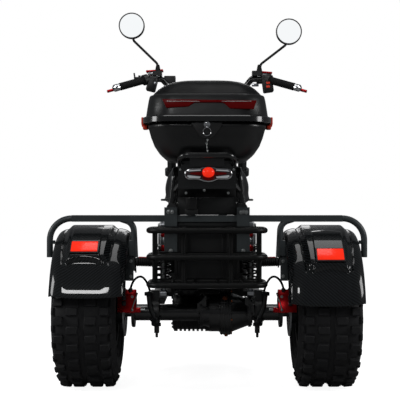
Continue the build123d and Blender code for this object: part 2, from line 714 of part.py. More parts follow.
REFLECTOR_SIZE = (78.0, 42.0, 7.0)
with BuildPart() as fender_reflectors:
    for name, side, rear_angle, reflector_angle, arc in FENDERS:
        angle = radians(reflector_angle)
        outwards = Vector(0, -cos(angle), sin(angle))
        lens_x = side * (FENDER_INNER_X + FENDER_WIDTH / 2 + PANEL_MIDDLE)
        lens_foot = FENDER_RADIUS + PANEL_RISE + SEAT_GAP
        seat_point = Vector(lens_x, REAR_Y, AXLE_Z) + outwards * lens_foot
        with BuildSketch(Plane(origin=seat_point, x_dir=(1, 0, 0), z_dir=outwards)) as lens:
            Rectangle(REFLECTOR_SIZE[0], REFLECTOR_SIZE[1])
        extrude(lens.sketch, amount=REFLECTOR_SIZE[2])
finish(fender_reflectors, "fender_reflectors")

# ---- Bumper and basket --------------------------------------------------------------------------------
TAB_LOW_Z, TAB_HIGH_Z = (
    AXLE_Z + ((FENDER_RADIUS - drop) ** 2 - BUMPER_BACK**2) ** 0.5 for drop in (FENDER_HEM_DROP - 2, 24.0)
)
with BuildPart() as bumper:
    slab(
        (-BUMPER_HALF, BUMPER_Y - BUMPER_TUBE / 2, BUMPER_Z - BUMPER_TUBE / 2),
        (BUMPER_HALF, BUMPER_Y + BUMPER_TUBE / 2, BUMPER_Z + BUMPER_TUBE / 2),
    )
    for side in (-1, 1):
        bent_bar(
            [
                (side * (BUMPER_HALF - 10), BUMPER_Y, BUMPER_Z),
                (side * HOOP_OUTER_X, BUMPER_Y, BUMPER_Z),
                (side * HOOP_OUTER_X, BUMPER_Y, HOOP_END_Z),
            ],
            66,
            HOOP_RADIUS,
        )
        bent_bar(
            [
                (side * 262, BUMPER_Y, BUMPER_Z - 2),
                (side * 224, BUMPER_Y, BUMPER_Z - 14),
                (side * 219, BUMPER_Y, HOOP_END_Z),
            ],
            32,
            HOOP_RADIUS,
        )
        # tabs that hold the fender at its outer and inner sides
        outer_face = FENDER_INNER_X + FENDER_WIDTH + SEAT_GAP
        slab(
            (min(side * outer_face, side * HOOP_OUTER_X), BUMPER_Y - 5, TAB_LOW_Z),
            (max(side * outer_face, side * HOOP_OUTER_X), BUMPER_Y + 5, TAB_HIGH_Z),
        )
        inner_face = FENDER_INNER_X - SEAT_GAP
        slab(
            (min(side * 222, side * inner_face), BUMPER_Y - 12, HOOP_END_Z + 5),
            (max(side * 222, side * inner_face), BUMPER_Y + 12, TAB_HIGH_Z),
        )
        plate_low = side * PLATE_X - PLATE_WIDTH / 2
        slab(
            (plate_low, BUMPER_Y - BUMPER_TUBE / 2 - PLATE_WALL, BUMPER_Z - 116),
            (plate_low + PLATE_WIDTH, BUMPER_Y - BUMPER_TUBE / 2, BUMPER_Z + 34),
        )
finish(bumper, "bumper")

BASKET_FRONT_Y = BUMPER_Y - BUMPER_TUBE / 2 - PLATE_WALL - SEAT_GAP - BASKET_TUBE_RADIUS
with BuildPart() as basket:
    middle_y = (BASKET_FRONT_Y + BASKET_REAR_Y) / 2
    depth = BASKET_FRONT_Y - BASKET_REAR_Y
    for rail_z in BASKET_RAILS:
        with BuildSketch(Plane.XY.offset(rail_z)) as loop:
            with Locations((0, middle_y)):
                RectangleRounded(2 * BASKET_HALF, depth, BASKET_CORNER)
        rail = loop.sketch.face().outer_wire()
        with BuildSketch(Plane(origin=rail @ 0, z_dir=rail % 0)) as section:
            Circle(BASKET_TUBE_RADIUS)
        sweep(sections=section.sketch, path=rail)
finish(basket, "basket")

# The posts stand inside the rails, and the floor's rods run between the lowest rail's long sides.
with BuildPart() as basket_bars:
    inset = BASKET_TUBE_RADIUS + BASKET_POST_RADIUS + SEAT_GAP
    foot, head_z = BASKET_RAILS[-1] - BASKET_TUBE_RADIUS, BASKET_RAILS[0] + BASKET_TUBE_RADIUS
    for wall_y, inwards in ((BASKET_REAR_Y, 1), (BASKET_FRONT_Y, -1)):
        for post_x in BASKET_POSTS:
            y = wall_y + inwards * inset
            bent_bar([(post_x, y, foot), (post_x, y, head_z)], None, BASKET_POST_RADIUS)
        for side in (-1, 1):
            x, y = side * (BASKET_HALF - inset), wall_y + inwards * (BASKET_CORNER + 2)
            bent_bar([(x, y, foot), (x, y, head_z)], None, BASKET_POST_RADIUS)
    reach = BASKET_TUBE_RADIUS + SEAT_GAP
    for x in BASKET_RODS:
        ends = (BASKET_REAR_Y + reach, BASKET_FRONT_Y - reach)
        bent_bar([(x, y, BASKET_RAILS[-1]) for y in ends], None, BASKET_ROD_RADIUS)
finish(basket_bars, "basket_bars")

# ---- Rear rack, tail lamp ------------------------------------------------------------------------------
with BuildPart() as rear_rack:
    foot = SEAT_RAIL_Z + SEAT_RAIL_RADIUS + SEAT_GAP
    for side in (-1, 1):
        bent_bar(
            [
                (side * SEAT_RAIL_X, REAR_Y + 72, foot),
                (side * 97, REAR_Y + 72, RACK_Z),
                (side * 97, REAR_Y - 98, RACK_Z),
                (side * SEAT_RAIL_X, REAR_Y - 98, foot),
            ],
            30,
            11,
        )
        bent_bar([(side * 70, REAR_Y - 224, RACK_Z - 35), (side * 100, REAR_Y - 100, RACK_Z - 65)], None, 7)
    for y in (REAR_Y + 40, REAR_Y - 60):
        cross_bar(y, RACK_Z + 3, 97, 8)
    bent_bar(
        [
            (-77.5, REAR_Y + 40, RACK_Z + 9),
            (-77.5, REAR_Y - 222, RACK_Z + 9),
            (-77.5, REAR_Y - 262, RACK_Z + 38),
            (77.5, REAR_Y - 262, RACK_Z + 38),
            (77.5, REAR_Y - 222, RACK_Z + 9),
            (77.5, REAR_Y + 40, RACK_Z + 9),
        ],
        24,
        9,
    )
    slab((-84, REAR_Y - 190, RACK_Z + 15), (84, REAR_Y + 30, BOX_BOTTOM - SEAT_GAP))
    slab((-84.5, TAIL_PLATE_Y, RACK_Z - 59), (84.5, TAIL_PLATE_Y + 4, RACK_Z + 13))
    slab((-50, TAIL_PLATE_Y - 22, RACK_Z + 5), (50, TAIL_PLATE_Y - 18, RACK_Z + 37))
    slab((-50, TAIL_PLATE_Y - 22, RACK_Z + 5), (50, TAIL_PLATE_Y + 4, RACK_Z + 9))
finish(rear_rack, "rear_rack")

with BuildPart() as tail_lamp:
    with BuildSketch(Plane(origin=(0, TAIL_PLATE_Y - SEAT_GAP, RACK_Z - 15), x_dir=(1, 0, 0), z_dir=(0, -1, 0))) as housing:
        RectangleRounded(139, 36, 14)
    extrude(housing.sketch, amount=24)
    with Locations((3, TAIL_PLATE_Y - 19, RACK_Z - 15)):
        Sphere(17)
finish(tail_lamp, "tail_lamp")

# ---- Top box --------------------------------------------------------------------------------------------
# height, width, depth, corner radius
BOX_SECTIONS = (
    (BOX_BOTTOM, 232.0, 258.0, 54.0),
    (BOX_BOTTOM + 20, 281.0, 294.0, 66.0),
    (BOX_BOTTOM + 42, 311.0, 319.0, 73.0),
    (BOX_BOTTOM + 90, 343.0, 346.0, 80.0),
    (BOX_SEAM, 348.0, 351.0, 82.0),
)
LID_SECTIONS = (
    (BOX_SEAM + SEAT_GAP, 378.0, 380.0, 89.0),
    (BOX_SEAM + 17, 378.0, 380.0, 89.0),
    (BOX_SEAM + 20, 361.0, 363.0, 85.0),
    (BOX_SEAM + 80, 340.0, 334.0, 80.0),
    (BOX_SEAM + 84, 328.0, 322.0, 77.0),
    (BOX_SEAM + 106, 296.0, 286.0, 69.0),
    (BOX_SEAM + 127, 244.0, 230.0, 57.0),
    (BOX_SEAM + 132, 140.0, 128.0, 33.0),
)
BOX_PLANE = Plane(origin=(0, BOX_Y, 0), x_dir=(1, 0, 0), z_dir=(0, 0, 1))


def shell_layers(sections, shrink, lift_low, lift_high):
    """Lofts rounded sections; shrink, lift_low and lift_high give the cavity inside them."""
    last = len(sections) - 1
    faces = []
    for index, (height, width, depth, corner) in enumerate(sections):
        shift = lift_low if index == 0 else lift_high if index == last else 0
        with BuildSketch(BOX_PLANE.offset(height + shift)) as layer:
            RectangleRounded(width - 2 * shrink, depth - 2 * shrink, corner - shrink)
        faces.append(layer.sketch)
    return faces


HINGE_Y = BOX_Y + 198
HINGE_Z = BOX_SEAM
KNUCKLE_RADIUS = 6.0
KNUCKLE_X = 75.0  # where the base's knuckle meets the lid's
KNUCKLE_LENGTH = 30.0
with BuildPart() as box_base:
    loft(sections=shell_layers(BOX_SECTIONS, 0, 0, 0), ruled=True)
    loft(sections=shell_layers(BOX_SECTIONS, BOX_WALL, BOX_WALL, 1), ruled=True, mode=Mode.SUBTRACT)
    for side in (-1, 1):
        start, end = side * KNUCKLE_X, side * (KNUCKLE_X + KNUCKLE_LENGTH)
        slab((min(start, end), BOX_Y + 171, HINGE_Z - 11), (max(start, end), HINGE_Y, HINGE_Z - 4))
        bent_bar([(start, HINGE_Y, HINGE_Z), (end, HINGE_Y, HINGE_Z)], None, KNUCKLE_RADIUS)
finish(box_base, "box_base")

with BuildPart() as box_lid:
    loft(sections=shell_layers(LID_SECTIONS, 0, 0, 0), ruled=True)
    loft(sections=shell_layers(LID_SECTIONS, BOX_WALL, -1, -BOX_WALL), ruled=True, mode=Mode.SUBTRACT)
    for side in (-1, 1):
        start, end = side * (KNUCKLE_X - 0.5), side * (KNUCKLE_X - 0.5 - KNUCKLE_LENGTH)
        slab((min(start, end), BOX_Y + 186.5, HINGE_Z + 1), (max(start, end), HINGE_Y, HINGE_Z + 6))
        bent_bar([(start, HINGE_Y, HINGE_Z), (end, HINGE_Y, HINGE_Z)], None, KNUCKLE_RADIUS)
finish(box_lid, "box_lid")

# The reflector lies on the lid's sloped rear face, between its third and fourth sections.
lower, upper = LID_SECTIONS[2], LID_SECTIONS[3]
slope = Vector(0, (lower[2] - upper[2]) / 2, upper[0] - lower[0]).normalized()
face_out = Vector(0, -slope.Z, slope.Y)
face_middle = Vector(0, BOX_Y - (lower[2] + upper[2]) / 4, (lower[0] + upper[0]) / 2) + face_out * SEAT_GAP
with BuildPart() as lid_reflector:
    with BuildSketch(Plane(origin=face_middle, x_dir=(1, 0, 0), z_dir=face_out)) as lens:
        with BuildLine():
            Polyline(
                (-126, 13), (-113, -11), (-54, -8), (-36, 4), (40, 4), (64, -13), (128, -13), (137, 12), close=True
            )
        make_face()
    extrude(lens.sketch, amount=5)
finish(lid_reflector, "lid_reflector")

with BuildPart() as box_latches:
    for side in (-1, 1):
        face = 189 + SEAT_GAP
        slab(
            (min(side * face, side * (face + 8)), BOX_Y - 60, BOX_SEAM + 2),
            (max(side * face, side * (face + 8)), BOX_Y - 20, BOX_SEAM + 30),
        )
finish(box_latches, "box_latches")

# ---- Fork -------------------------------------------------------------------------------------------------
with BuildPart() as fork_clamps:
    for start in (LOWER_CLAMP_T, UPPER_CLAMP_T):
        with BuildSketch(STEERING.offset(start)) as clamp:
            with Locations((0, FORK_OFFSET)):
                RectangleRounded(2 * LEG_X + 60, 56, 27)
            Circle(32)
            with Locations((0, FORK_OFFSET / 2)):
                Rectangle(64, FORK_OFFSET)
            with Locations((-LEG_X, FORK_OFFSET), (LEG_X, FORK_OFFSET)):
                Circle(LEG_UPPER_RADIUS + 0.2, mode=Mode.SUBTRACT)
        extrude(clamp.sketch, amount=CLAMP_THICKNESS)
    ring(STEERING, STEM_RADIUS, LOWER_CLAMP_T, UPPER_CLAMP_T + 1)
    # the headlamp's post between the clamps
    with BuildSketch(STEERING.offset(LOWER_CLAMP_T + 5)) as post:
        with Locations((0, LAMP_POST_AHEAD - 3)):
            Rectangle(36, 6)
    extrude(post.sketch, amount=UPPER_CLAMP_T - LOWER_CLAMP_T)
    # two risers that hold the handlebar
    across = Plane(origin=(-34, BAR_Y, BAR_Z), x_dir=STEERING.y_dir, z_dir=(1, 0, 0))
    reach = STEERING.to_local_coords(Vector(0, BAR_Y, BAR_Z)).Z - UPPER_CLAMP_T - CLAMP_THICKNESS
    for start in (0, 44):
        with BuildSketch(across.offset(start)) as riser:
            Circle(19)
            with Locations((0, -reach / 2)):
                Rectangle(30, reach)
            Circle(BAR_RADIUS + SEAT_GAP, mode=Mode.SUBTRACT)
        extrude(riser.sketch, amount=24)
finish(fork_clamps, "fork_clamps")

with BuildPart() as fork_legs:
    for side in (-1, 1):
        centre = (side * LEG_X, FORK_OFFSET)
        ring(STEERING, LEG_LOWER_RADIUS, -34, LEG_LOWER_TOP, 0, centre)
        ring(STEERING, LEG_UPPER_RADIUS, LEG_LOWER_TOP, LEG_TOP, 0, centre)
    cross_bar(FRONT_Y, AXLE_Z, LEG_X, FRONT_AXLE_RADIUS)
    for side in (-1, 1):
        bent_bar([(side * 112.6, FRONT_Y, AXLE_Z), (side * LEG_X, FRONT_Y, AXLE_Z)], None, 13)
finish(fork_legs, "fork_legs")

with BuildPart() as front_fender:
    with BuildSketch(axle_plane(0, FRONT_Y, 20)) as section:
        with BuildLine():
            Polyline(
                (-116, 226),
                (-116, 246),
                (-90, 260),
                (90, 260),
                (116, 246),
                (116, 226),
                (112, 226),
                (112, 244),
                (89, 256),
                (-89, 256),
                (-112, 244),
                (-112, 226),
                close=True,
            )
        make_face()
    revolve(section.sketch, axis=Axis((0, FRONT_Y, AXLE_Z), (-1, 0, 0)), revolution_arc=110)
    stay = LEG_X - LEG_LOWER_RADIUS - SEAT_GAP
    for side in (-1, 1):
        slab(
            (min(side * 114, side * stay), FRONT_Y - 130, AXLE_Z + 215),
            (max(side * 114, side * stay), FRONT_Y - 70, AXLE_Z + 235),
        )
finish(front_fender, "front_fender")

with BuildPart() as front_caliper:
    inner = FRONT_DISC_X - DISC_THICKNESS / 2 - PAD_GAP
    outer = FRONT_DISC_X + DISC_THICKNESS / 2 + PAD_GAP
    caliper_outside = LEG_X - LEG_LOWER_RADIUS + 0.7  # the round leg curves away from it
    with BuildSketch(axle_plane(0, FRONT_Y, 10)) as jaw:
        with BuildLine():
            Polyline(
                (-102, 58),
                (-102, 98),
                (-caliper_outside, 98),
                (-caliper_outside, 58),
                (-outer, 58),
                (-outer, FRONT_DISC_RADIUS + 5),
                (-inner, FRONT_DISC_RADIUS + 5),
                (-inner, 58),
                close=True,
            )
        make_face()
    revolve(jaw.sketch, axis=Axis((0, FRONT_Y, AXLE_Z), (-1, 0, 0)), revolution_arc=45)
finish(front_caliper, "front_caliper")

with BuildPart() as headlamp:
    lamp_point = fork_point(0, LAMP_AHEAD, LAMP_T)
    with BuildSketch(Plane(origin=lamp_point, x_dir=(0, 1, 0), z_dir=(1, 0, 0))) as half_lamp:
        with BuildLine():
            Polyline(
                (-60, 0),
                (-55, 35),
                (-40, 58),
                (-18, 72),
                (10, LAMP_RADIUS - 3),
                (22, LAMP_RADIUS - 3),
                (22, LAMP_RADIUS),
                (42, LAMP_RADIUS),
                (42, LAMP_RADIUS - 8),
                (36, LAMP_RADIUS - 8),
                (46, LAMP_RADIUS - 40),
                (49, 0),
                close=True,
            )
        make_face()
    revolve(half_lamp.sketch, axis=Axis((0, lamp_point.Y, lamp_point.Z), (0, 1, 0)))
    stem_foot = fork_point(0, LAMP_POST_AHEAD + SEAT_GAP, LAMP_T)
    bent_bar([(0, stem_foot.Y, stem_foot.Z), (0, lamp_point.Y, lamp_point.Z)], None, 12)
finish(headlamp, "headlamp")

BAR_POINTS = (
    (45, BAR_Y, BAR_Z),
    (150, BAR_Y - 48, BAR_Z + 115),
    (185, BAR_Y - 63, GRIP_Z),
    (238, BAR_Y - 86, GRIP_Z),
    (370, BAR_Y - 158, GRIP_Z - 47),
)
with BuildPart() as handlebar:
    mirrored = [(-x, y, z) for x, y, z in reversed(BAR_POINTS)]
    bent_bar(mirrored + list(BAR_POINTS), 20, BAR_RADIUS)
finish(handlebar, "handlebar")

with BuildPart() as grips:
    grip_from, grip_to = Vector(*BAR_POINTS[-2]), Vector(*BAR_POINTS[-1])
    along = (grip_to - grip_from).normalized()
    for side in (-1, 1):
        start = grip_from + along * 28
        with BuildSketch(
            Plane(origin=(side * start.X, start.Y, start.Z), z_dir=(side * along.X, along.Y, along.Z))
        ) as section:
            Circle(GRIP_RADIUS)
            Circle(BAR_RADIUS + SEAT_GAP, mode=Mode.SUBTRACT)
        extrude(section.sketch, amount=112)
finish(grips, "grips")

with BuildPart() as controls:
    for side in (-1, 1):
        slab(
            (min(side * 186, side * 224), BAR_Y - 96, GRIP_Z + BAR_RADIUS + SEAT_GAP),
            (max(side * 186, side * 224), BAR_Y - 48, GRIP_Z + BAR_RADIUS + 20),
        )
        slab(
            (min(side * 206, side * 236), BAR_Y - 58, GRIP_Z - 15),
            (max(side * 206, side * 236), BAR_Y - 34, GRIP_Z + 16),
        )
        pod_start = grip_from + along * 9
        with BuildSketch(
            Plane(origin=(side * pod_start.X, pod_start.Y, pod_start.Z), z_dir=(side * along.X, along.Y, along.Z))
        ) as section:
            Circle(22)
            Circle(BAR_RADIUS + SEAT_GAP, mode=Mode.SUBTRACT)
        extrude(section.sketch, amount=18.7)
finish(controls, "controls")

with BuildPart() as levers:
    for side in (-1, 1):
        bent_bar(
            [
                (side * 238.2, BAR_Y - 45, GRIP_Z),
                (side * 262, BAR_Y - 48, GRIP_Z - 7),
                (side * 340, BAR_Y - 80, GRIP_Z - 32),
                (side * 408, BAR_Y - 108, GRIP_Z - 55),
            ],
            25,
            6,
        )
finish(levers, "levers")

# side, boot's foot, elbow, top of the stem, mirror's centre x and height
BOOT_Y = BAR_Y - 78.0
MIRRORS = (
    (
        -1,
        (203, BOOT_Y, GRIP_Z + 32.3),
        (205, BOOT_Y - 2, GRIP_Z + 63),
        (300, BOOT_Y - 24, GRIP_Z + 153),
        308,
        GRIP_Z + 213,
    ),
    (
        1,
        (216, BOOT_Y, GRIP_Z + 32.3),
        (222, BOOT_Y - 2, GRIP_Z + 61),
        (321, BOOT_Y - 24, GRIP_Z + 135),
        335,
        GRIP_Z + 189,
    ),
)
MIRROR_Y = BAR_Y - 112.0
with BuildPart() as mirrors:
    for side, foot, elbow, top_point, centre_x, centre_z in MIRRORS:
        bent_bar(
            [
                (side * foot[0], foot[1], foot[2]),
                (side * elbow[0], elbow[1], elbow[2]),
                (side * top_point[0], top_point[1], top_point[2]),
                (side * centre_x, MIRROR_Y + 8, centre_z - 30),
            ],
            16,
            5,
        )
        back = Plane(origin=(side * centre_x, MIRROR_Y, centre_z), z_dir=(0, 1, 0))
        ring(back, MIRROR_RADIUS, -8, 14)
        with BuildSketch(back.offset(-8)) as recess:
            Circle(MIRROR_RADIUS - 4)
        extrude(recess.sketch, amount=3, mode=Mode.SUBTRACT)
finish(mirrors, "mirrors")

with BuildPart() as mirror_glass:
    for side, foot, elbow, top_point, centre_x, centre_z in MIRRORS:
        back = Plane(origin=(side * centre_x, MIRROR_Y, centre_z), z_dir=(0, 1, 0))
        ring(back, MIRROR_RADIUS - 4 - SEAT_GAP, -7.5, -5.2)
finish(mirror_glass, "mirror_glass")

# ---- Foot pegs and brake hoses ------------------------------------------------------------------------------
with BuildPart() as foot_pegs:
    for side in (-1, 1):
        bent_bar([(side * 142.3, -324, 366), (side * 252, -330, 370)], None, 11)
finish(foot_pegs, "foot_pegs")

with BuildPart() as brake_hoses:
    for side in (-1, 1):
        bent_bar(
            [
                (side * 236, REAR_Y - 60, AXLE_Z + 80),
                (side * 230, REAR_Y - 62, AXLE_Z + 104),
                (side * 205, REAR_Y - 50, AXLE_Z + 121),
                (side * 186, REAR_Y - 10, AXLE_Z + 94),
                (side * 177.8, REAR_Y + 60, AXLE_Z + 35),
                (side * 177.8, REAR_Y + 200, AXLE_Z + 31),
            ],
            16,
            3.5,
        )
finish(brake_hoses, "brake_hoses")
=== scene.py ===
"""Looks of an electric fat-tyre trike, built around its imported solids.

Metres, in the frame of the solids: +X is the rider's right, +Y is forwards and +Z is up, with the
origin on the floor. Each sub-assembly is a class whose fields are its sizes, and each finish is a
small frozen dataclass that makes one material.
"""
from __future__ import annotations

import json
import logging
import math
from dataclasses import dataclass
from enum import Enum
from typing import Sequence

import bmesh
import bpy
from bpy.types import Material, Node, NodeSocket, NodeTree, Object
from mathutils import Matrix, Vector

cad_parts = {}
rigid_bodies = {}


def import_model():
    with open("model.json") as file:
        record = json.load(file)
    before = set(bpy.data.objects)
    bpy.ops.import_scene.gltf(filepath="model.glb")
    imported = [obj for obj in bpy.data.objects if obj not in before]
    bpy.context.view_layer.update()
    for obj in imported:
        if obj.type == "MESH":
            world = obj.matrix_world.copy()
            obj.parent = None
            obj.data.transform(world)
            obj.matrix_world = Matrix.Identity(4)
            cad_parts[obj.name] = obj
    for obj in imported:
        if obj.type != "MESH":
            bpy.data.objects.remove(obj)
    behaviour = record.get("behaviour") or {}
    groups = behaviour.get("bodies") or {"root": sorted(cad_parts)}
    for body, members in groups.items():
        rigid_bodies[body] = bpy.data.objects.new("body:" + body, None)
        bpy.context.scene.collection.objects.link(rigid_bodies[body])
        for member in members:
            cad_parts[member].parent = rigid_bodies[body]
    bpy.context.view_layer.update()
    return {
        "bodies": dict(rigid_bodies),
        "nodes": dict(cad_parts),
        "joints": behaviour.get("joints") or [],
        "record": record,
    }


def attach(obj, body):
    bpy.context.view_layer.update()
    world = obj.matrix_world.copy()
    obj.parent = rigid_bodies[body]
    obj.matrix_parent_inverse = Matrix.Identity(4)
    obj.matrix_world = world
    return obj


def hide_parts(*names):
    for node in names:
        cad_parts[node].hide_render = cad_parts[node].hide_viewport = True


log = logging.getLogger("trike")
Pair = tuple[float, float]

# Places that the solids share, in metres
AXLE_Z = 0.231
REAR_Y = -0.661
FRONT_Y = 0.719
HALF_TRACK = 0.368
RAKE = math.radians(28.0)
FORK_OFFSET = 0.045
SIDES = (-1, 1)  # left, right
MM_IN_M = 1000.0
WHITE = (1.0, 1.0, 1.0, 1.0)


class Body(str, Enum):
    """The rigid bodies that pieces ride on."""

    CHASSIS = "chassis"
    FORK = "fork"
    FRONT_WHEEL = "front_wheel"
    REAR_LEFT = "rear_left_wheel"
    REAR_RIGHT = "rear_right_wheel"
    LID = "box_lid"


# ---- Materials ----
def linear(colour: str, alpha: float = 1.0) -> tuple[float, float, float, float]:
    """Turns an sRGB hex colour to linear.

    Args:
        colour: Six hex digits.
        alpha: The fourth channel.

    Returns:
        Linear red, green and blue, with alpha.
    """
    channels = [int(colour[i : i + 2], 16) / 255 for i in (0, 2, 4)]
    return (*(c / 12.92 if c <= 0.04045 else ((c + 0.055) / 1.055) ** 2.4 for c in channels), alpha)


def feed(node: Node, inputs: dict) -> None:
    """Links a node's inputs to sockets, or sets them to values."""
    for key, value in inputs.items():
        if isinstance(value, NodeSocket):
            node.id_data.links.new(value, node.inputs[key])
        else:
            node.inputs[key].default_value = value


def add_node(tree: NodeTree, kind: str, inputs: dict | None = None, **settings) -> Node:
    """Adds a node with its settings, and links or sets its inputs.

    Args:
        tree: The node tree.
        kind: The node's type name.
        inputs: Input name or index to a value, or to a socket to link.
        **settings: The node's own properties.

    Returns:
        The new node.
    """
    made = tree.nodes.new(kind)
    for name, value in settings.items():
        setattr(made, name, value)
    feed(made, inputs or {})
    return made


@dataclass(frozen=True)
class Finish:
    """A plain finish: one colour with a fine grain in its roughness and bump, and an optional glow that
    paints light into the colour.
    """

    name: str
    colour: str
    roughness: float = 0.5
    metallic: float = 0.0
    ior: float = 1.5
    coat: float = 0.0
    coat_roughness: float = 0.05
    grain_mm: float = 1.2
    grain_depth: float = 0.06
    bump_height: float = 0.0006
    mottle: float = 0.12
    # glow: emission in the base colour; on the reflectors, the plated bars and the mirror glass it is painted
    # light, since they are no lamps
    glow: float = 0.0

    def material(self) -> Material:
        """Makes the material, once."""
        known = bpy.data.materials.get(self.name)
        if known:
            return known
        made = bpy.data.materials.new(self.name)
        made.use_nodes = True
        tree = made.node_tree
        shader = tree.nodes["Principled BSDF"]
        colour = linear(self.colour)
        inputs = {"Base Color": colour, "Roughness": self.roughness, "Metallic": self.metallic}
        if not self.metallic:
            inputs["IOR"] = self.ior
        # Painted light: the glow makes the part shine in its own colour.
        if self.glow:
            inputs |= {"Emission Color": colour, "Emission Strength": self.glow}
        feed(shader, inputs | {"Coat Weight": self.coat, "Coat Roughness": self.coat_roughness})
        place = add_node(tree, "ShaderNodeTexCoord").outputs["Object"]
        self.dress(tree, shader, place)
        made.diffuse_color = colour
        return made

    def dress(self, tree: NodeTree, shader: Node, place: NodeSocket) -> None:
        """Adds grain and a slow mottle of colour and gloss.

        Args:
            tree: The material's nodes.
            shader: Its Principled BSDF.
            place: Object coordinates.
        """
        pitch = MM_IN_M / self.grain_mm
        grain = add_node(tree, "ShaderNodeTexNoise", {"Vector": place, "Scale": pitch, "Detail": 2.0})
        slow = add_node(tree, "ShaderNodeTexNoise", {"Vector": place, "Scale": 14.0, "Detail": 5.0})
        self.tint(tree, shader, slow.outputs["Fac"])
        low, high = max(0.02, self.roughness * 0.82), min(1.0, self.roughness * 1.22)
        spread = {"From Min": 0.3, "From Max": 0.7, "To Min": low, "To Max": high}
        gloss = add_node(tree, "ShaderNodeMapRange", {"Value": slow.outputs["Fac"]} | spread)
        feed(shader, {"Roughness": gloss.outputs["Result"]})
        height = {"Height": grain.outputs["Fac"], "Strength": self.grain_depth, "Distance": self.bump_height}
        bump = add_node(tree, "ShaderNodeBump", height)
        feed(shader, {"Normal": bump.outputs["Normal"]})

    def tint(self, tree: NodeTree, shader: Node, mask: NodeSocket) -> None:
        """Varies the base colour from a little darker to a little lighter by a mask."""
        base = linear(self.colour)
        low = tuple(c * (1 - self.mottle) for c in base[:3]) + (1.0,)
        high = tuple(min(1.0, c * (1 + self.mottle) + 0.002) for c in base[:3]) + (1.0,)
        mix = add_node(tree, "ShaderNodeMix", {"Factor": mask, 6: low, 7: high}, data_type="RGBA")
        feed(shader, {"Base Color": mix.outputs[2]})


@dataclass(frozen=True)
class Twill(Finish):
    """A two-by-two twill under clear lacquer, laid out by the uv layer "weave" in metres."""

    tow_mm: float = 2.6
    light: str = "202427"
    bump_height: float = 0.0003
    relief: float = 0.12

    def dress(self, tree: NodeTree, shader: Node, place: NodeSocket) -> None:
        """Adds the woven tows."""

        def math_node(
            operation: str, first: float | NodeSocket, second: float | NodeSocket = 0.0
        ) -> NodeSocket:
            """Adds a Math node, and gives back its output."""
            return add_node(tree, "ShaderNodeMath", {0: first, 1: second}, operation=operation).outputs[0]

        laid = add_node(tree, "ShaderNodeUVMap", uv_map="weave").outputs["UV"]
        split = add_node(tree, "ShaderNodeSeparateXYZ", {0: laid})
        run = [math_node("MULTIPLY", split.outputs[index], MM_IN_M / self.tow_mm) for index in (0, 1)]
        cells = [math_node("FLOOR", value) for value in run]
        step = math_node("FLOORED_MODULO", math_node("ADD", *cells), 4.0)
        warp = math_node("LESS_THAN", step, 1.5)
        crowns = []
        for value in run:
            angle = math_node("MULTIPLY", math_node("FRACT", value), math.pi)
            crowns.append(math_node("SINE", angle))
        inputs = {"Factor": warp, 2: crowns[1], 3: crowns[0]}
        crown = add_node(tree, "ShaderNodeMix", inputs, data_type="FLOAT").outputs[0]
        tone = math_node("MULTIPLY", warp, crown)
        tones = {"Factor": tone, 6: linear(self.colour), 7: linear(self.light)}
        mix = add_node(tree, "ShaderNodeMix", tones, data_type="RGBA")
        feed(shader, {"Base Color": mix.outputs[2]})
        height = {"Height": crown, "Strength": self.relief, "Distance": self.bump_height}
        bump = add_node(tree, "ShaderNodeBump", height)
        feed(shader, {"Normal": bump.outputs["Normal"]})


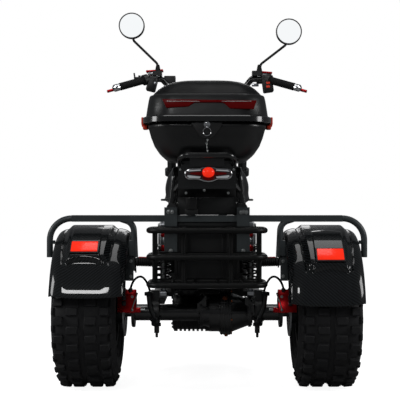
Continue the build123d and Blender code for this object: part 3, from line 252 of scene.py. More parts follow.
class Paint:
    """The finishes of the trike, named for what they are."""

    POWDER_COAT = Finish(
        "satin_black_powder_coat", "151718", 0.44, coat=0.1, coat_roughness=0.3, grain_mm=1.6
    )
    GLOSS_BLACK = Finish(
        "gloss_black_stove_enamel", "0c0d0e", 0.22, coat=0.6, coat_roughness=0.06, grain_depth=0.02
    )
    BASKET_COAT = Finish("black_dipped_wire", "070808", 0.4, ior=1.35, grain_mm=1.6)
    BARREL = Finish("black_lacquered_cast_alloy", "0e0f10", 0.36, coat=0.4, coat_roughness=0.15, grain_mm=2.5)
    MOULDED = Finish("fine_grained_black_abs", "101112", 0.46, grain_mm=0.9, grain_depth=0.1)
    BOX = Finish("satin_black_polypropylene", "0f1011", 0.34, grain_mm=0.8, grain_depth=0.07)
    # A darker, duller copy of the box plastic for the lid's top: painted shade that keeps the overhead lamp
    # off it.
    BOX_TOP = Finish("dull_black_polypropylene_painted_shade", "070809", 0.42, ior=1.16, grain_mm=0.8, grain_depth=0.03)
    RUBBER = Finish("black_synthetic_rubber", "0c0c0d", 0.7, ior=1.35, grain_mm=1.0, grain_depth=0.12)
    TYRE = Finish("tyre_rubber", "19191b", 0.66, ior=1.42, grain_mm=2.2, grain_depth=0.22, mottle=0.25)
    VINYL = Finish("grained_black_vinyl", "131415", 0.5, grain_mm=1.6, grain_depth=0.3)
    RED_ANODISED = Finish("red_anodised_aluminium", "c40d16", 0.3, metallic=0.75, grain_depth=0.03)
    RED_ABS = Finish("orange_red_abs", "e23a1e", 0.4, grain_depth=0.04)
    # The glow is painted light on the fender reflectors, which are no lamps; the tail lamp's dome glows with
    # it too.
    RED_LENS = Finish(
        "red_acrylic_lens", "f32a12", 0.22, ior=1.35, coat=0.2, grain_depth=0.0, mottle=0.04, glow=0.6
    )
    # The glow is painted light on the lid's reflector lens, which is no lamp; the tail lamp's strips and
    # collar glow with it too.
    DARK_RED_LENS = Finish(
        "dark_red_acrylic_lens",
        "560405",
        0.3,
        ior=1.15,
        coat=0.05,
        coat_roughness=0.1,
        grain_depth=0.0,
        glow=0.2,
    )
    SILVER = Finish("silver_anodised_aluminium", "b9bcc0", 0.3, metallic=0.95, grain_depth=0.03)
    GROUND_STEEL = Finish("ground_stainless_steel", "a9abad", 0.28, metallic=1.0, grain_mm=0.5)
    CHROME = Finish("plated_chrome", "d9dadc", 0.06, metallic=1.0, grain_depth=0.0, mottle=0.03)
    ZINC = Finish("zinc_plated_steel", "aeb1b0", 0.34, metallic=0.95, grain_depth=0.05)
    COPPER = Finish("copper_flashed_steel", "94583a", 0.34, metallic=0.95, grain_depth=0.05)
    # The glow paints a sheen of light on the tail lamp's plated bars.
    REFLECTOR = Finish("moulded_plated_reflector_painted_sheen", "c4c8cc", 0.32, metallic=0.6, grain_depth=0.0, glow=0.22)
    LAMP_GLASS = Finish(
        "fluted_lamp_glass", "c8ced2", 0.08, metallic=0.55, coat=1.0, grain_depth=0.0, mottle=0.05
    )
    SMOKED = Finish(
        "smoked_acrylic_window", "3a2a2c", 0.08, metallic=0.35, ior=1.49, coat=1.0, grain_depth=0.0
    )
    BLACK_STEEL = Finish("black_oxide_steel", "1d1e20", 0.34, metallic=0.8, grain_depth=0.05)
    # The white glow is a painted reflection of a bright room on the mirror glass.
    MIRROR = Finish("silvered_glass_painted_reflection", "f4f6f7", 0.02, metallic=1.0, grain_depth=0.0, mottle=0.0, glow=0.9)
    TWILL = Twill("clear_coated_twill", "050606", 0.4, ior=1.15, coat=0.85, coat_roughness=0.04)
    # A lighter grey copy of the satin black powder coat: painted light that makes the black bumper look lit.
    BUMPER_COAT = Finish(
        "satin_powder_coat_painted_lit_grey", "363c3e", 0.42, coat=0.1, coat_roughness=0.3, grain_mm=1.6
    )
    # A grey copy of black painted steel for the fender plates: painted light that makes them look lit.
    BRACKET = Finish("steel_painted_lit_grey", "34393b", 0.5, grain_mm=1.4)
    RED_INLAY = Finish("red_rubber_inlay", "a3141b", 0.5, grain_depth=0.05)


CAD_FINISHES: dict[Finish, str] = {
    Paint.TYRE: "front_tyre rear_left_tyre rear_right_tyre",
    Paint.BARREL: "front_rim rear_left_rim rear_right_rim drive_motor",
    Paint.GROUND_STEEL: "front_disc rear_left_disc rear_right_disc",
    Paint.POWDER_COAT: "main_frame deck swing_arms fork_clamps",
    Paint.GLOSS_BLACK: "axle_housing shock_springs rear_rack fork_legs headlamp handlebar",
    Paint.MOULDED: "battery_case controls mirrors",
    Paint.RUBBER: "grips foot_pegs brake_hoses",
    Paint.TWILL: "rear_fender_left rear_fender_right front_fender",
    Paint.RED_ANODISED: "rear_calipers front_caliper levers",
    Paint.RED_LENS: "fender_reflectors lid_reflector",
    Paint.BASKET_COAT: "basket basket_bars",
    Paint.BOX: "box_base box_lid",
    Paint.BUMPER_COAT: "bumper",
    Paint.VINYL: "saddle",
    Paint.SILVER: "shocks",
    Paint.CHROME: "tail_lamp",
    Paint.RED_ABS: "box_latches",
    Paint.MIRROR: "mirror_glass",
}


def dress_solids(nodes: dict[str, Object]) -> None:
    """Gives each carried-over solid its finish."""
    finishes = {name: finish for finish, names in CAD_FINISHES.items() for name in names.split()}
    for name, solid in nodes.items():
        material = finishes[name].material()
        if not solid.material_slots:
            solid.data.materials.append(material)
        for slot in solid.material_slots:
            slot.material = material


# ---- Modelling moves ----
def turned(degrees: float, axis: str) -> Matrix:
    """A turn about X, Y or Z."""
    return Matrix.Rotation(math.radians(degrees), 4, axis)


def moved(x: float, y: float, z: float) -> Matrix:
    """A plain move."""
    return Matrix.Translation((x, y, z))


UPRIGHT = turned(-90, "Y")  # x goes up
FORWARDS = turned(90, "Z")  # x goes forwards
REARWARDS = turned(90, "X")  # x goes across, y up and z to the rear


def lengthwise(start: Vector, end: Vector) -> Matrix:
    """A frame at start whose x runs to end."""
    return moved(*start) @ (end - start).to_track_quat("X", "Z").to_matrix().to_4x4()


def sided(side: int, *spots: Sequence) -> list[Vector]:
    """Spots given for the right side, there or mirrored to the left."""
    return [Vector((side * x, y, z)) for x, y, z in spots]


def hoop(half: float, inner: float, outer: float, at: float = 0.0) -> list:
    """The square section of a hoop about the x axis, for a lathe."""
    return [(at - half, inner), (at - half, outer), (at + half, outer), (at + half, inner)]


def round_turn(count: int) -> list[float]:
    """Evenly spaced angles of one turn, in radians."""
    return [math.tau * index / count for index in range(count)]


def both_halves(half: Sequence) -> list:
    """An outline and its mirror image, from the right half listed from top to bottom."""
    return [*half, *((-x, up) for x, up in reversed(half) if x)]


def add_wall(piece: Object, thickness: float) -> None:
    """Gives an open skin its wall, inwards from its outside."""
    wall = piece.modifiers.new("wall", "SOLIDIFY")
    wall.thickness = thickness
    wall.offset = -1.0


def add_object(name: str, data: bpy.types.ID) -> Object:
    """Adds an object to the scene."""
    made = bpy.data.objects.new(name, data)
    bpy.context.scene.collection.objects.link(made)
    return made


def round_curve(
    name: str, points: Sequence, radius: float, sides: int = 3, steps: int = 8, closed: bool = False
) -> bpy.types.Curve:
    """Draws a round bar as a smooth curve.

    Args:
        name: The curve's name.
        points: What it is drawn by; it meets the two ends.
        radius: Half its thickness.
        sides: The resolution of its section.
        steps: The resolution between two points.
        closed: Whether its end joins its start.

    Returns:
        The new curve.
    """
    curve = bpy.data.curves.new(name, "CURVE")
    curve.dimensions = "3D"
    curve.bevel_depth = radius
    curve.bevel_resolution = sides
    curve.use_fill_caps = True
    spline = curve.splines.new("NURBS")
    spline.points.add(len(points) - 1)
    for point, place in zip(spline.points, points):
        point.co = (*place, 1.0)
    spline.use_cyclic_u = closed
    spline.order_u = 3
    spline.use_endpoint_u = not closed
    spline.resolution_u = steps
    return curve


def aim(start: Vector, end: Vector) -> Matrix:
    """A turn and place whose z runs from start to end, with its origin half way."""
    along = end - start
    return moved(*(start + end) / 2) @ along.to_track_quat("Z", "Y").to_matrix().to_4x4()


def across(x: float, y: float, z: float, degrees: float = 0.0) -> Matrix:
    """A frame on a transverse axle: x along the axle, z outwards, degrees above the rear horizon."""
    return moved(x, y, z) @ turned(90.0 - degrees, "X")


def around(x: float, degrees: float, radius: float, y: float = REAR_Y) -> Vector:
    """The point at x on a circle about an axle, degrees above the rear horizon."""
    return across(x, y, AXLE_Z, degrees) @ Vector((0.0, 0.0, radius))


def steering(x: float, ahead: float, along: float) -> Vector:
    """The point at x, ahead of the steering axis and along it, from the front axle's level."""
    up = Vector((0.0, -math.sin(RAKE), math.cos(RAKE)))
    forwards = Vector((0.0, math.cos(RAKE), math.sin(RAKE)))
    return Vector((x, FRONT_Y, AXLE_Z)) + forwards * (ahead - FORK_OFFSET) + up * along


class Form:
    """A mesh in the making, with the few modelling moves that the trike's pieces share."""

    def __init__(self) -> None:
        """Starts an empty mesh."""
        self.mesh = bmesh.new()

    def soften(self, verts: list, width: float, segments: int = 2, sharp: float = 0.6) -> None:
        """Rounds every edge between some vertices that turns more than sharp, in radians."""
        if width > 0:
            chosen = set(verts)
            near = {e for v in verts for e in v.link_edges if chosen.issuperset(e.verts)}
            edges = [e for e in near if len(e.link_faces) == 2 and e.calc_face_angle() > sharp]
            self.round_off(edges, width, segments)

    def round_off(self, edges: list, width: float, segments: int = 2) -> list:
        """Rounds some edges, and gives back the new faces."""
        options = {"profile": 0.5, "affect": "EDGES", "material": -1, "clamp_overlap": True}
        return bmesh.ops.bevel(self.mesh, geom=edges, offset=width, segments=segments, **options)["faces"]

    def spin(self, geom: list, centre: Sequence, axis: Sequence, angle: float, steps: int, **more) -> dict:
        """Turns a part of the mesh about an axis, with a skin or with copies along its way."""
        return bmesh.ops.spin(self.mesh, geom=geom, cent=centre, axis=axis, angle=angle, steps=steps, **more)

    def recalc(self) -> None:
        """Turns the faces of a closed skin outwards."""
        bmesh.ops.recalc_face_normals(self.mesh, faces=self.mesh.faces[:])

    def face_outwards(self, centre: Vector) -> None:
        """Turns the faces of an open skin away from a point inside it."""
        self.recalc()
        if sum(f.normal.dot(f.calc_center_median() - centre) for f in self.mesh.faces) < 0:
            bmesh.ops.reverse_faces(self.mesh, faces=self.mesh.faces[:])

    def block(
        self,
        low: Sequence,
        high: Sequence,
        bevel: float = 0.0015,
        segments: int = 2,
        turn: Matrix | None = None,
    ) -> None:
        """Adds a block between two corners.

        Args:
            low: One corner.
            high: The other corner.
            bevel: The rounding of its edges.
            segments: The steps of that rounding.
            turn: A matrix that the whole block goes through.
        """
        low, high = Vector(low), Vector(high)
        size = Matrix.Diagonal((*(abs(b - a) for a, b in zip(low, high)), 1.0))
        matrix = moved(*(low + high) / 2) @ size
        verts = bmesh.ops.create_cube(self.mesh, size=1.0, matrix=(turn or Matrix()) @ matrix)["verts"]
        self.soften(verts, bevel, segments)

    def rod(
        self,
        start: Sequence,
        end: Sequence,
        radius: float,
        end_radius: float = -1.0,
        sides: int = 24,
        bevel: float = 0.0,
    ) -> None:
        """Adds a straight round bar or cone between two points."""
        start, end = Vector(start), Vector(end)
        verts = bmesh.ops.create_cone(
            self.mesh,
            cap_ends=True,
            segments=sides,
            radius1=radius,
            radius2=radius if end_radius < 0 else end_radius,
            depth=(end - start).length,
            matrix=aim(start, end),
        )["verts"]
        self.soften(verts, bevel, 2)

    def pin(
        self, start: float, end: float, y: float, z: float, radius: float, sides: int = 24, bevel: float = 0.0
    ) -> None:
        """Adds a straight round bar along X."""
        self.rod((start, y, z), (end, y, z), radius, sides=sides, bevel=bevel)

    def post(
        self, x: float, y: float, low: float, high: float, radius: float, sides: int = 24, bevel: float = 0.0
    ) -> None:
        """Adds a straight round bar along Z."""
        self.rod((x, y, low), (x, y, high), radius, sides=sides, bevel=bevel)

    def nut(self, start: Sequence, end: Sequence, radius: float) -> None:
        """Adds a hexagon between two points."""
        self.rod(start, end, radius, sides=6, bevel=0.001)

    def ball(self, centre: Sequence, radius: float, scale: Sequence = (1.0, 1.0, 1.0)) -> None:
        """Adds a ball, stretched along its axes."""
        matrix = moved(*centre) @ Matrix.Diagonal((*scale, 1.0))
        bmesh.ops.create_uvsphere(self.mesh, u_segments=24, v_segments=14, radius=radius, matrix=matrix)

    def ring(self, profile: Sequence, frame: Matrix) -> list:
        """Adds the corners of a lathe section, given as (along, radius) pairs."""
        return [self.mesh.verts.new(frame @ Vector((along, 0.0, radius))) for along, radius in profile]

    def lathe(self, profile: Sequence, frame: Matrix, sides: int = 48) -> None:
        """Turns a profile of (along, radius) pairs about the frame's x axis.

        Args:
            profile: Its points; the last joins the first unless both are on the axis.
            frame: Puts the turned shape in place.
            sides: The steps of the turn.
        """
        before = set(self.mesh.verts)
        verts = self.ring(profile, frame)
        edges = [self.mesh.edges.new(pair) for pair in zip(verts, verts[1:])]
        if profile[0][1] > 1e-6 or profile[-1][1] > 1e-6:
            edges.append(self.mesh.edges.new((verts[-1], verts[0])))
        axis = frame.to_3x3() @ Vector((1.0, 0.0, 0.0))
        self.spin(verts + edges, frame.translation, axis, math.tau, sides, use_merge=True)
        grown = [v for v in self.mesh.verts if v not in before]
        bmesh.ops.remove_doubles(self.mesh, verts=grown, dist=1e-6)
        faces = list({f for v in grown if v.is_valid for f in v.link_faces})
        bmesh.ops.recalc_face_normals(self.mesh, faces=faces)

    def prism(
        self, outline: Sequence, frame: Matrix, depth: float, bevel: float = 0.0, segments: int = 2
    ) -> None:
        """Extrudes a flat outline of (x, y) pairs along the frame's z.

        Args:
            outline: Its corners in order.
            frame: Puts the outline in place.
            depth: How far it goes along z.
            bevel: The rounding of its edges.
            segments: The steps of that rounding.
        """
        verts = [self.mesh.verts.new(frame @ Vector((x, y, 0.0))) for x, y in outline]
        face = self.mesh.faces.new(verts)
        made = bmesh.ops.extrude_face_region(self.mesh, geom=[face])
        top = [v for v in made["geom"] if isinstance(v, bmesh.types.BMVert)]
        bmesh.ops.translate(self.mesh, verts=top, vec=frame.to_3x3() @ Vector((0.0, 0.0, depth)))
        verts += top
        bmesh.ops.recalc_face_normals(self.mesh, faces=list({f for v in verts for f in v.link_faces}))
        self.soften(verts, bevel, segments)

    def pipe(self, points: Sequence, radius: float, sides: int = 3, closed: bool = False) -> None:
        """Adds a round bar along a smooth curve."""
        curve = round_curve("route", points, radius, sides, closed=closed)
        holder = bpy.data.objects.new("route", curve)
        baked = bpy.data.meshes.new_from_object(holder)
        self.mesh.from_mesh(baked)
        bpy.data.objects.remove(holder)
        bpy.data.curves.remove(curve)
        bpy.data.meshes.remove(baked)

    def bolt(self, place: Sequence, out: Sequence, radius: float, socket: bool = True) -> None:
        """Adds a washer and a cap screw or hexagon head, standing out from a face."""
        place, out = Vector(place), Vector(out).normalized()
        self.rod(place - out * 0.0005, place + out * radius * 0.25, radius * 1.55, sides=20)
        top = place + out * radius * 1.1
        if not socket:
            self.rod(place, top, radius * 1.1, sides=6, bevel=radius * 0.1)
            return
        self.rod(place, top, radius, sides=16, bevel=radius * 0.12)

        def off(face: bmesh.types.BMFace) -> float:
            """How far a face is from the screw's top."""
            return (face.calc_center_median() - top).length

        caps = [f for f in self.mesh.faces if len(f.verts) > 8 and off(f) < radius * 0.3]
        if caps:
            cap = min(caps, key=off)
            bmesh.ops.inset_region(self.mesh, faces=[cap], thickness=radius * 0.42)
            inner = bmesh.ops.extrude_discrete_faces(self.mesh, faces=[cap])["faces"]
            bmesh.ops.translate(self.mesh, verts=inner[0].verts, vec=-out * radius * 0.6)

    def place(
        self,
        name: str,
        finish: Finish,
        body: Body = Body.CHASSIS,
        replaces: Sequence = (),
        crease: float = 35.0,
    ) -> Object:
        """Turns the mesh into a piece that rides on a body.

        Args:
            name: The piece's name.
            finish: Its material.
            body: The body it moves with.
            replaces: The solids it stands for.
            crease: The angle past which an edge stays sharp, in degrees.

        Returns:
            The new object.
        """
        data = bpy.data.meshes.new(name)
        self.mesh.to_mesh(data)
        self.mesh.free()
        piece = add_object(name, data)
        data.materials.append(finish.material())
        data.shade_smooth()
        data.set_sharp_from_angle(angle=math.radians(crease))
        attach(piece, body.value)
        if replaces:
            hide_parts(*replaces)
        log.info("%s: %d faces on %s", name, len(data.polygons), body.value)
        return piece


# ---- Wheels ----
@dataclass
class Tyre:
    """A balloon tyre with three rows of lugs each side of a centre groove."""

    name: str
    body: Body
    x: float
    y: float
    width: float
    seat: float
    radius: float = 0.231
    bead: float = 0.104
    tread_depth: float = 0.008
    facets: int = 96
    # inset from the side and height over the bead of each moulded ring, and their thickness
    rings: tuple = ((0.0025, 0.036), (0.0015, 0.075))
    ring_half: float = 0.0015
    lugs: int = 26
    lug_height: float = 0.011
    lug_draft: Pair = (0.86, 0.84)
    lug_edge: float = 0.0016
    # the width that the outer rows are given for, and where they begin
    pattern_width: float = 0.19
    outer_rows: float = 0.05
    # across, half width, half length, place round the pitch, tilt of its face in degrees, radius of its top
    rows: tuple = (
        (0.027, 0.0182, 0.0128, 0.5, 0.0, 0.231),
        (0.068, 0.0145, 0.013, 0.0, 5.0, 0.2302),
        (0.0885, 0.0055, 0.0125, 0.5, 52.0, 0.2125),
    )

    def carcass(self, form: Form) -> None:
        """Adds the closed body of the tyre, bead to bead."""
        half = self.width / 2
        base = self.radius - self.tread_depth
        side = [
            (self.seat / 2 - 0.0005, self.bead), (self.seat / 2 - 0.0005, self.bead + 0.012),
            (self.seat / 2 + 0.006, self.bead + 0.018), (half - 0.005, self.bead + 0.032),
            (half, self.bead + 0.056), (half - 0.0015, self.bead + 0.078),
            (half - 0.007, self.bead + 0.094), (half - 0.014, base - 0.013), (half - 0.026, base - 0.005),
            (half - 0.048, base - 0.001), (0.009, base), (0.006, base - 0.003),
        ]
        form.lathe(both_halves(side), across(self.x, self.y, AXLE_Z), self.facets)

    def lug_row(self, form: Form, row: tuple, side: int) -> None:
        """Adds one row of tapered lugs round the tyre."""
        middle, half_width, half_length, phase, tilt, top = row
        if middle > self.outer_rows:
            middle *= self.width / self.pattern_width
        pitch = math.tau / self.lugs
        start = across(self.x, self.y, AXLE_Z) @ Matrix.Rotation(pitch * (phase + 0.5 * (side > 0)), 4, "X")
        turn = start @ moved(side * middle, 0.0, top) @ turned(side * tilt, "Y")
        size = Matrix.Diagonal((2 * half_width, 2 * half_length, self.lug_height, 1.0))
        sunk = moved(0, 0, -self.lug_height / 2)
        made = bmesh.ops.create_cube(form.mesh, size=1.0, matrix=sunk @ size)["verts"]
        tops = [v for v in made if v.co.z > -self.lug_height / 2]
        bmesh.ops.scale(form.mesh, verts=tops, vec=(*self.lug_draft, 1.0))
        upper = {e for v in tops for e in v.link_edges}
        rounds = form.round_off(list(upper), self.lug_edge, 1)
        lug = list({v for f in rounds for v in f.verts} | {v for v in made if v.is_valid})
        base = [f for f in {f for v in lug for f in v.link_faces} if f.normal.z < -0.99]
        bmesh.ops.delete(form.mesh, geom=base, context="FACES_ONLY")
        bmesh.ops.transform(form.mesh, verts=lug, matrix=turn)
        faces = list({f for v in lug for f in v.link_faces})
        geom = lug + list({e for f in faces for e in f.edges}) + faces
        centre = (self.x, self.y, AXLE_Z)
        form.spin(geom, centre, (1, 0, 0), math.tau - pitch, self.lugs - 1, use_duplicate=True)

    def bead_lines(self, form: Form) -> None:
        """Adds the thin moulded rings on each side wall."""
        thick = self.ring_half
        for side in SIDES:
            for inset, rise in self.rings:
                out, up = side * (self.width / 2 - inset), self.bead + rise
                section = [(out + thick, up), (out, up + thick), (out - thick, up), (out, up - thick)]
                form.lathe(section, across(self.x, self.y, AXLE_Z), self.facets)

    def build(self) -> None:
        """Makes the tyre in place of its solid."""
        form = Form()
        self.carcass(form)
        for row in self.rows:
            for side in SIDES:
                self.lug_row(form, row, side)
        self.bead_lines(form)
        form.place(f"{self.name}_lugged_tyre", Paint.TYRE, self.body, [f"{self.name}_tyre"])


TYRES = (
    Tyre("front", Body.FRONT_WHEEL, 0.0, FRONT_Y, 0.212, 0.166),
    Tyre("rear_left", Body.REAR_LEFT, -HALF_TRACK, REAR_Y, 0.19, 0.15),
    Tyre("rear_right", Body.REAR_RIGHT, HALF_TRACK, REAR_Y, 0.19, 0.15),
)


# ---- Shock absorbers ----
@dataclass
class Shocks:
    """Coil springs, reservoir bands and adjusters on the two shock absorbers."""

    x: float = 0.137
    low: float = 0.3165
    high: float = 0.4375
    coil_radius: float = 0.0235
    wire: float = 0.0036
    turns: int = 6
    steps: int = 20
    reservoir_x: float = 0.125
    reservoir_y: float = REAR_Y - 0.044
    reservoir_radius: float = 0.0175
    # height, length, how far each band stands out of the reservoir
    red_bands: tuple = ((0.47, 0.0125, 0.001), (0.426, 0.019, 0.001))
    silver_bands: tuple = ((0.4475, 0.0195, 0.0004), (0.413, 0.011, 0.0014))
    adjuster: Pair = (0.405, 0.413)
    adjuster_radius: float = 0.01
    collars: Pair = (0.3115, 0.4405)
    # along and radius, half of a collar's section
    collar: tuple = ((0.004, 0.018), (0.004, 0.0265), (0.001, 0.0278))
    eyes: Pair = (0.29, 0.505)
    eye_half: float = 0.0115
    stem_radius: float = 0.0105

    def coils(self) -> None:
        """Winds both springs in place of their sleeves."""
        form = Form()
        rise = (self.high - self.low - 2 * self.wire) / self.turns
        for side in SIDES:
            centre = Vector((side * self.x, REAR_Y, self.low + self.wire))
            matrix = Matrix.Translation(centre + Vector((self.coil_radius, 0, 0))) @ REARWARDS
            made = bmesh.ops.create_circle(
                form.mesh, cap_ends=True, segments=8, radius=self.wire, matrix=matrix
            )["verts"]
            face = made[0].link_faces[0]
            geom, lift = made + list(face.edges) + [face], (0.0, 0.0, rise / self.steps)
            form.spin(geom, centre, (0, 0, 1), math.tau * self.turns, self.turns * self.steps, dvec=lift)
        form.recalc()
        form.place("shock_coils", Paint.GLOSS_BLACK, Body.CHASSIS, ["shock_springs"], 50)

    def bands(self) -> None:
        """Adds the red and silver bands of the reservoirs."""
        for colour, finish, bands in (
            ("red", Paint.RED_ANODISED, self.red_bands), ("silver", Paint.SILVER, self.silver_bands)
        ):
            form = Form()
            for side in SIDES:
                for low, length, proud in bands:
                    radius = self.reservoir_radius + proud
                    form.post(side * self.reservoir_x, self.reservoir_y, low, low + length, radius, 32, 0.001)
            form.place(f"reservoir_bands_{colour}", finish)

    def adjusters(self) -> None:
        """Adds the adjusters, collars, stems and pivot bolts of the shocks."""
        form = Form()
        for side in SIDES:
            x = side * self.x
            reservoir = (side * self.reservoir_x, self.reservoir_y)
            form.post(*reservoir, *self.adjuster, self.adjuster_radius, 8, 0.0008)
            for z in self.collars:
                form.lathe(both_halves(self.collar), moved(x, REAR_Y, z) @ UPRIGHT, 32)
            for z in self.eyes:
                form.bolt((side * (self.x + self.eye_half), REAR_Y, z), (side, 0, 0), 0.0055)
            form.post(x, REAR_Y, self.low, self.high, self.stem_radius, 20)
        form.place("shock_adjusters", Paint.ZINC)

    def build(self) -> None:
        """Makes every piece on the shocks."""
        self.coils()
        self.bands()
        self.adjusters()


# ---- Brake hoses ----
@dataclass
class BrakeHoses:
    """The hydraulic hoses from the rear calipers to the swing arms."""

    diameter: float = 0.007
    length: float = 0.36
    # the left hose's route; x is mirrored for the right one
    route: tuple = (
        (0.236, REAR_Y - 0.06, 0.311), (0.23, REAR_Y - 0.062, 0.335), (0.205, REAR_Y - 0.05, 0.352),
        (0.186, REAR_Y - 0.01, 0.325), (0.1778, REAR_Y + 0.06, 0.266), (0.1778, REAR_Y + 0.2, 0.262),
    )

    def build(self) -> None:
        """Makes both hoses as one curve each, in place of their tubes."""
        for side, name in ((-1, "left"), (1, "right")):
            name = f"brake_hose_{name}"
            curve = round_curve(name, sided(side, *self.route), self.diameter / 2, steps=16)
            hose = add_object(name, curve)
            curve.materials.append(Paint.RUBBER.material())
            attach(hose, Body.CHASSIS.value)
            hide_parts("brake_hoses")


# ---- Fenders ----
def ramp(value: float, start: float, end: float) -> float:
    """A smooth step from 0 at start to 1 at end."""
    t = min(1.0, max(0.0, (value - start) / (end - start)))
    return t * t * (3 - 2 * t)


@dataclass
class RearFender:
    """A clear-coated twill fender with a raised crown between two grooves.

    Across is measured outwards from the fender's middle, and turn is in degrees above the reflector.
    """

    side: int
    rear_angle: float
    reflector_angle: float
    arc: float = 138.0
    radius: float = 0.275
    inner_x: float = 0.238
    width: float = 0.224
    wall: float = 0.004
    shoulder_drop: float = 0.01
    corner: Pair = (0.045, 0.022)
    skirt: float = 0.004
    hem_curve: float = 2.2
    columns: int = 104
    rows: int = 200
    crown_middle: float = 0.0075
    crown_half: float = 0.0655
    crown_shoulder: float = 0.016
    crown_rise: Pair = (-11.0, -5.0)
    crown_flare: float = 0.01
    flare_start: float = -8.5
    flare_arc: float = 34.0
    groove_depth: float = 0.0045
    groove_half: float = 0.003
    groove_rise: Pair = (-12.5, -8.5)
    dish_depth: float = 0.002
    dish_across: Pair = (0.045, 0.066)
    dish_top: Pair = (-12.0, -8.0)
    dish_foot: Pair = (-32.0, -20.0)
    panel_middle: float = 0.0125
    panel_half: float = 0.0445
    panel_rise: float = 0.003
    panel_top: float = 26.0
    panel_end: Pair = (-2.0, 1.0)
    peak_half: float = 0.04
    peak_slope: float = 60.0
    edge_half: float = 0.0016
    ledge_top: float = -4.6
    ledge_rise: float = 0.0055
    ledge_arc: float = 5.0
    ledge_flare: float = 0.0075
    lip_drop: float = 2.4
    lip_bow: float = 3.2
    lip_arc: float = 1.8

    def section(self, share: float) -> tuple[float, float]:
        """The plain section without its relief.

        Args:
            share: From -1 at the inner hem to 1 at the outer hem.

        Returns:
            Across and radius.
        """
        wide, high = self.corner
        flat = self.width / 2 - wide
        bend = math.pi / 2 * (wide + high) / 2
        run = abs(share) * (flat + bend + self.skirt)
        top = self.radius - self.shoulder_drop
        if run <= flat:
            out, up = run, top
        elif run <= flat + bend:
            angle = (run - flat) / bend * math.pi / 2
            out, up = flat + wide * math.sin(angle), top - high * (1 - math.cos(angle))
        else:
            out, up = self.width / 2, top - high - (run - flat - bend)
        return math.copysign(out, share), up

    def relief(self, out: float, turn: float) -> float:
        """How far the skin stands above its plain section.

        Args:
            out: Distance across.
            turn: Degrees above the reflector.

        Returns:
            The rise, in metres.
        """
        from_crown = abs(out - self.crown_middle)
        flare = min(1.0, max(0.0, (turn - self.flare_start) / self.flare_arc))
        crown_half = self.crown_half + self.crown_flare * flare
        crown = 1 - ramp(from_crown, crown_half - self.crown_shoulder, crown_half)
        rise = self.shoulder_drop * crown * ramp(turn, *self.crown_rise)
        valley = 1 - ramp(abs(from_crown - crown_half - self.groove_half), 0.0, self.groove_half)
        rise -= self.groove_depth * valley * ramp(turn, *self.groove_rise)
        dish = (1 - ramp(from_crown, *self.dish_across)) * (1 - ramp(turn, *self.dish_top))
        rise -= self.dish_depth * dish * ramp(turn, *self.dish_foot)
        from_panel = abs(out - self.panel_middle)
        if turn > self.ledge_top:
            peak = self.peak_slope * max(0.0, self.peak_half - from_panel)
            below_top = 1 - ramp(turn - self.panel_top - peak, *self.panel_end)
            return rise + self.panel_rise * self.within(from_panel, self.panel_half) * below_top
        slope = min(1.0, (self.ledge_top - turn) / self.ledge_arc)
        half = self.panel_half + self.ledge_flare * slope
        lip = self.ledge_top - self.lip_drop - self.lip_bow * (from_panel / half) ** 2
        height = self.panel_rise + self.ledge_rise * slope
        return rise + height * self.within(from_panel, half) * ramp(turn, lip - self.lip_arc, lip)

    def within(self, distance: float, half: float) -> float:
        """1 inside a half width and 0 outside it, with a narrow slope between."""
        return 1 - ramp(distance, half - self.edge_half, half + self.edge_half)

    def build(self) -> None:
        """Makes the shell in place of its solid."""
        side_name = "left" if self.side < 0 else "right"
        form = Form()
        bmesh.ops.create_grid(form.mesh, x_segments=self.columns, y_segments=self.rows, size=1.0)
        weave = form.mesh.loops.layers.uv.new("weave")
        middle = self.side * (self.inner_x + self.width / 2)
        girth = self.width / 2 + self.skirt
        for face in form.mesh.faces:
            for loop in face.loops:
                across_, along = loop.vert.co.x, loop.vert.co.y
                loop[weave].uv = (across_ * girth, (along + 1) / 2 * math.radians(self.arc) * self.radius)
        for vert in form.mesh.verts:
            out, up = self.section(vert.co.x)
            lift = self.hem_curve * (abs(out) / (self.width / 2)) ** 3 * (1 - vert.co.y) / 2
            angle = self.rear_angle + (vert.co.y + 1) / 2 * self.arc + lift
            up += self.relief(out, angle - self.reflector_angle)
            turn = math.radians(angle)
            vert.co = (middle + self.side * out, REAR_Y - up * math.cos(turn), AXLE_Z + up * math.sin(turn))
        form.face_outwards(Vector((middle, REAR_Y, AXLE_Z)))
        shell = form.place(
            f"fender_shell_{side_name}", Paint.TWILL, Body.CHASSIS, [f"rear_fender_{side_name}"], crease=60
        )
        add_wall(shell, self.wall)


@dataclass
class FenderReflector:
    """A red prismatic reflector in a dark frame, on a fender's crown."""

    side: int
    angle: float
    x: float = 0.3625
    width: float = 0.078
    height: float = 0.042
    radius: float = 0.2785
    frame_rim: float = 0.0045
    frame_depth: Pair = (-0.0012, 0.0045)
    depth: float = 0.0068

    def build(self) -> None:
        """Makes the frame and the lens."""
        seat = across(self.side * self.x, REAR_Y, AXLE_Z, self.angle) @ moved(0.0, 0.0, self.radius)
        name = "left" if self.side < 0 else "right"
        half_w, half_h = self.width / 2, self.height / 2
        frame_w, frame_h = half_w + self.frame_rim, half_h + self.frame_rim
        low, high = self.frame_depth
        form = Form()
        form.block((-frame_w, -frame_h, low), (frame_w, frame_h, high), 0.0018, 2, seat)
        form.place(f"reflector_frame_{name}", Paint.MOULDED)
        # The lens's red finish glows: painted light, for a reflector is no lamp.
        lens = Form()
        lens.block((-half_w, -half_h, 0.001), (half_w, half_h, self.depth), 0.0015, 2, seat)
        lens.place(f"reflector_lens_{name}", Paint.RED_LENS, Body.CHASSIS, ["fender_reflectors"])


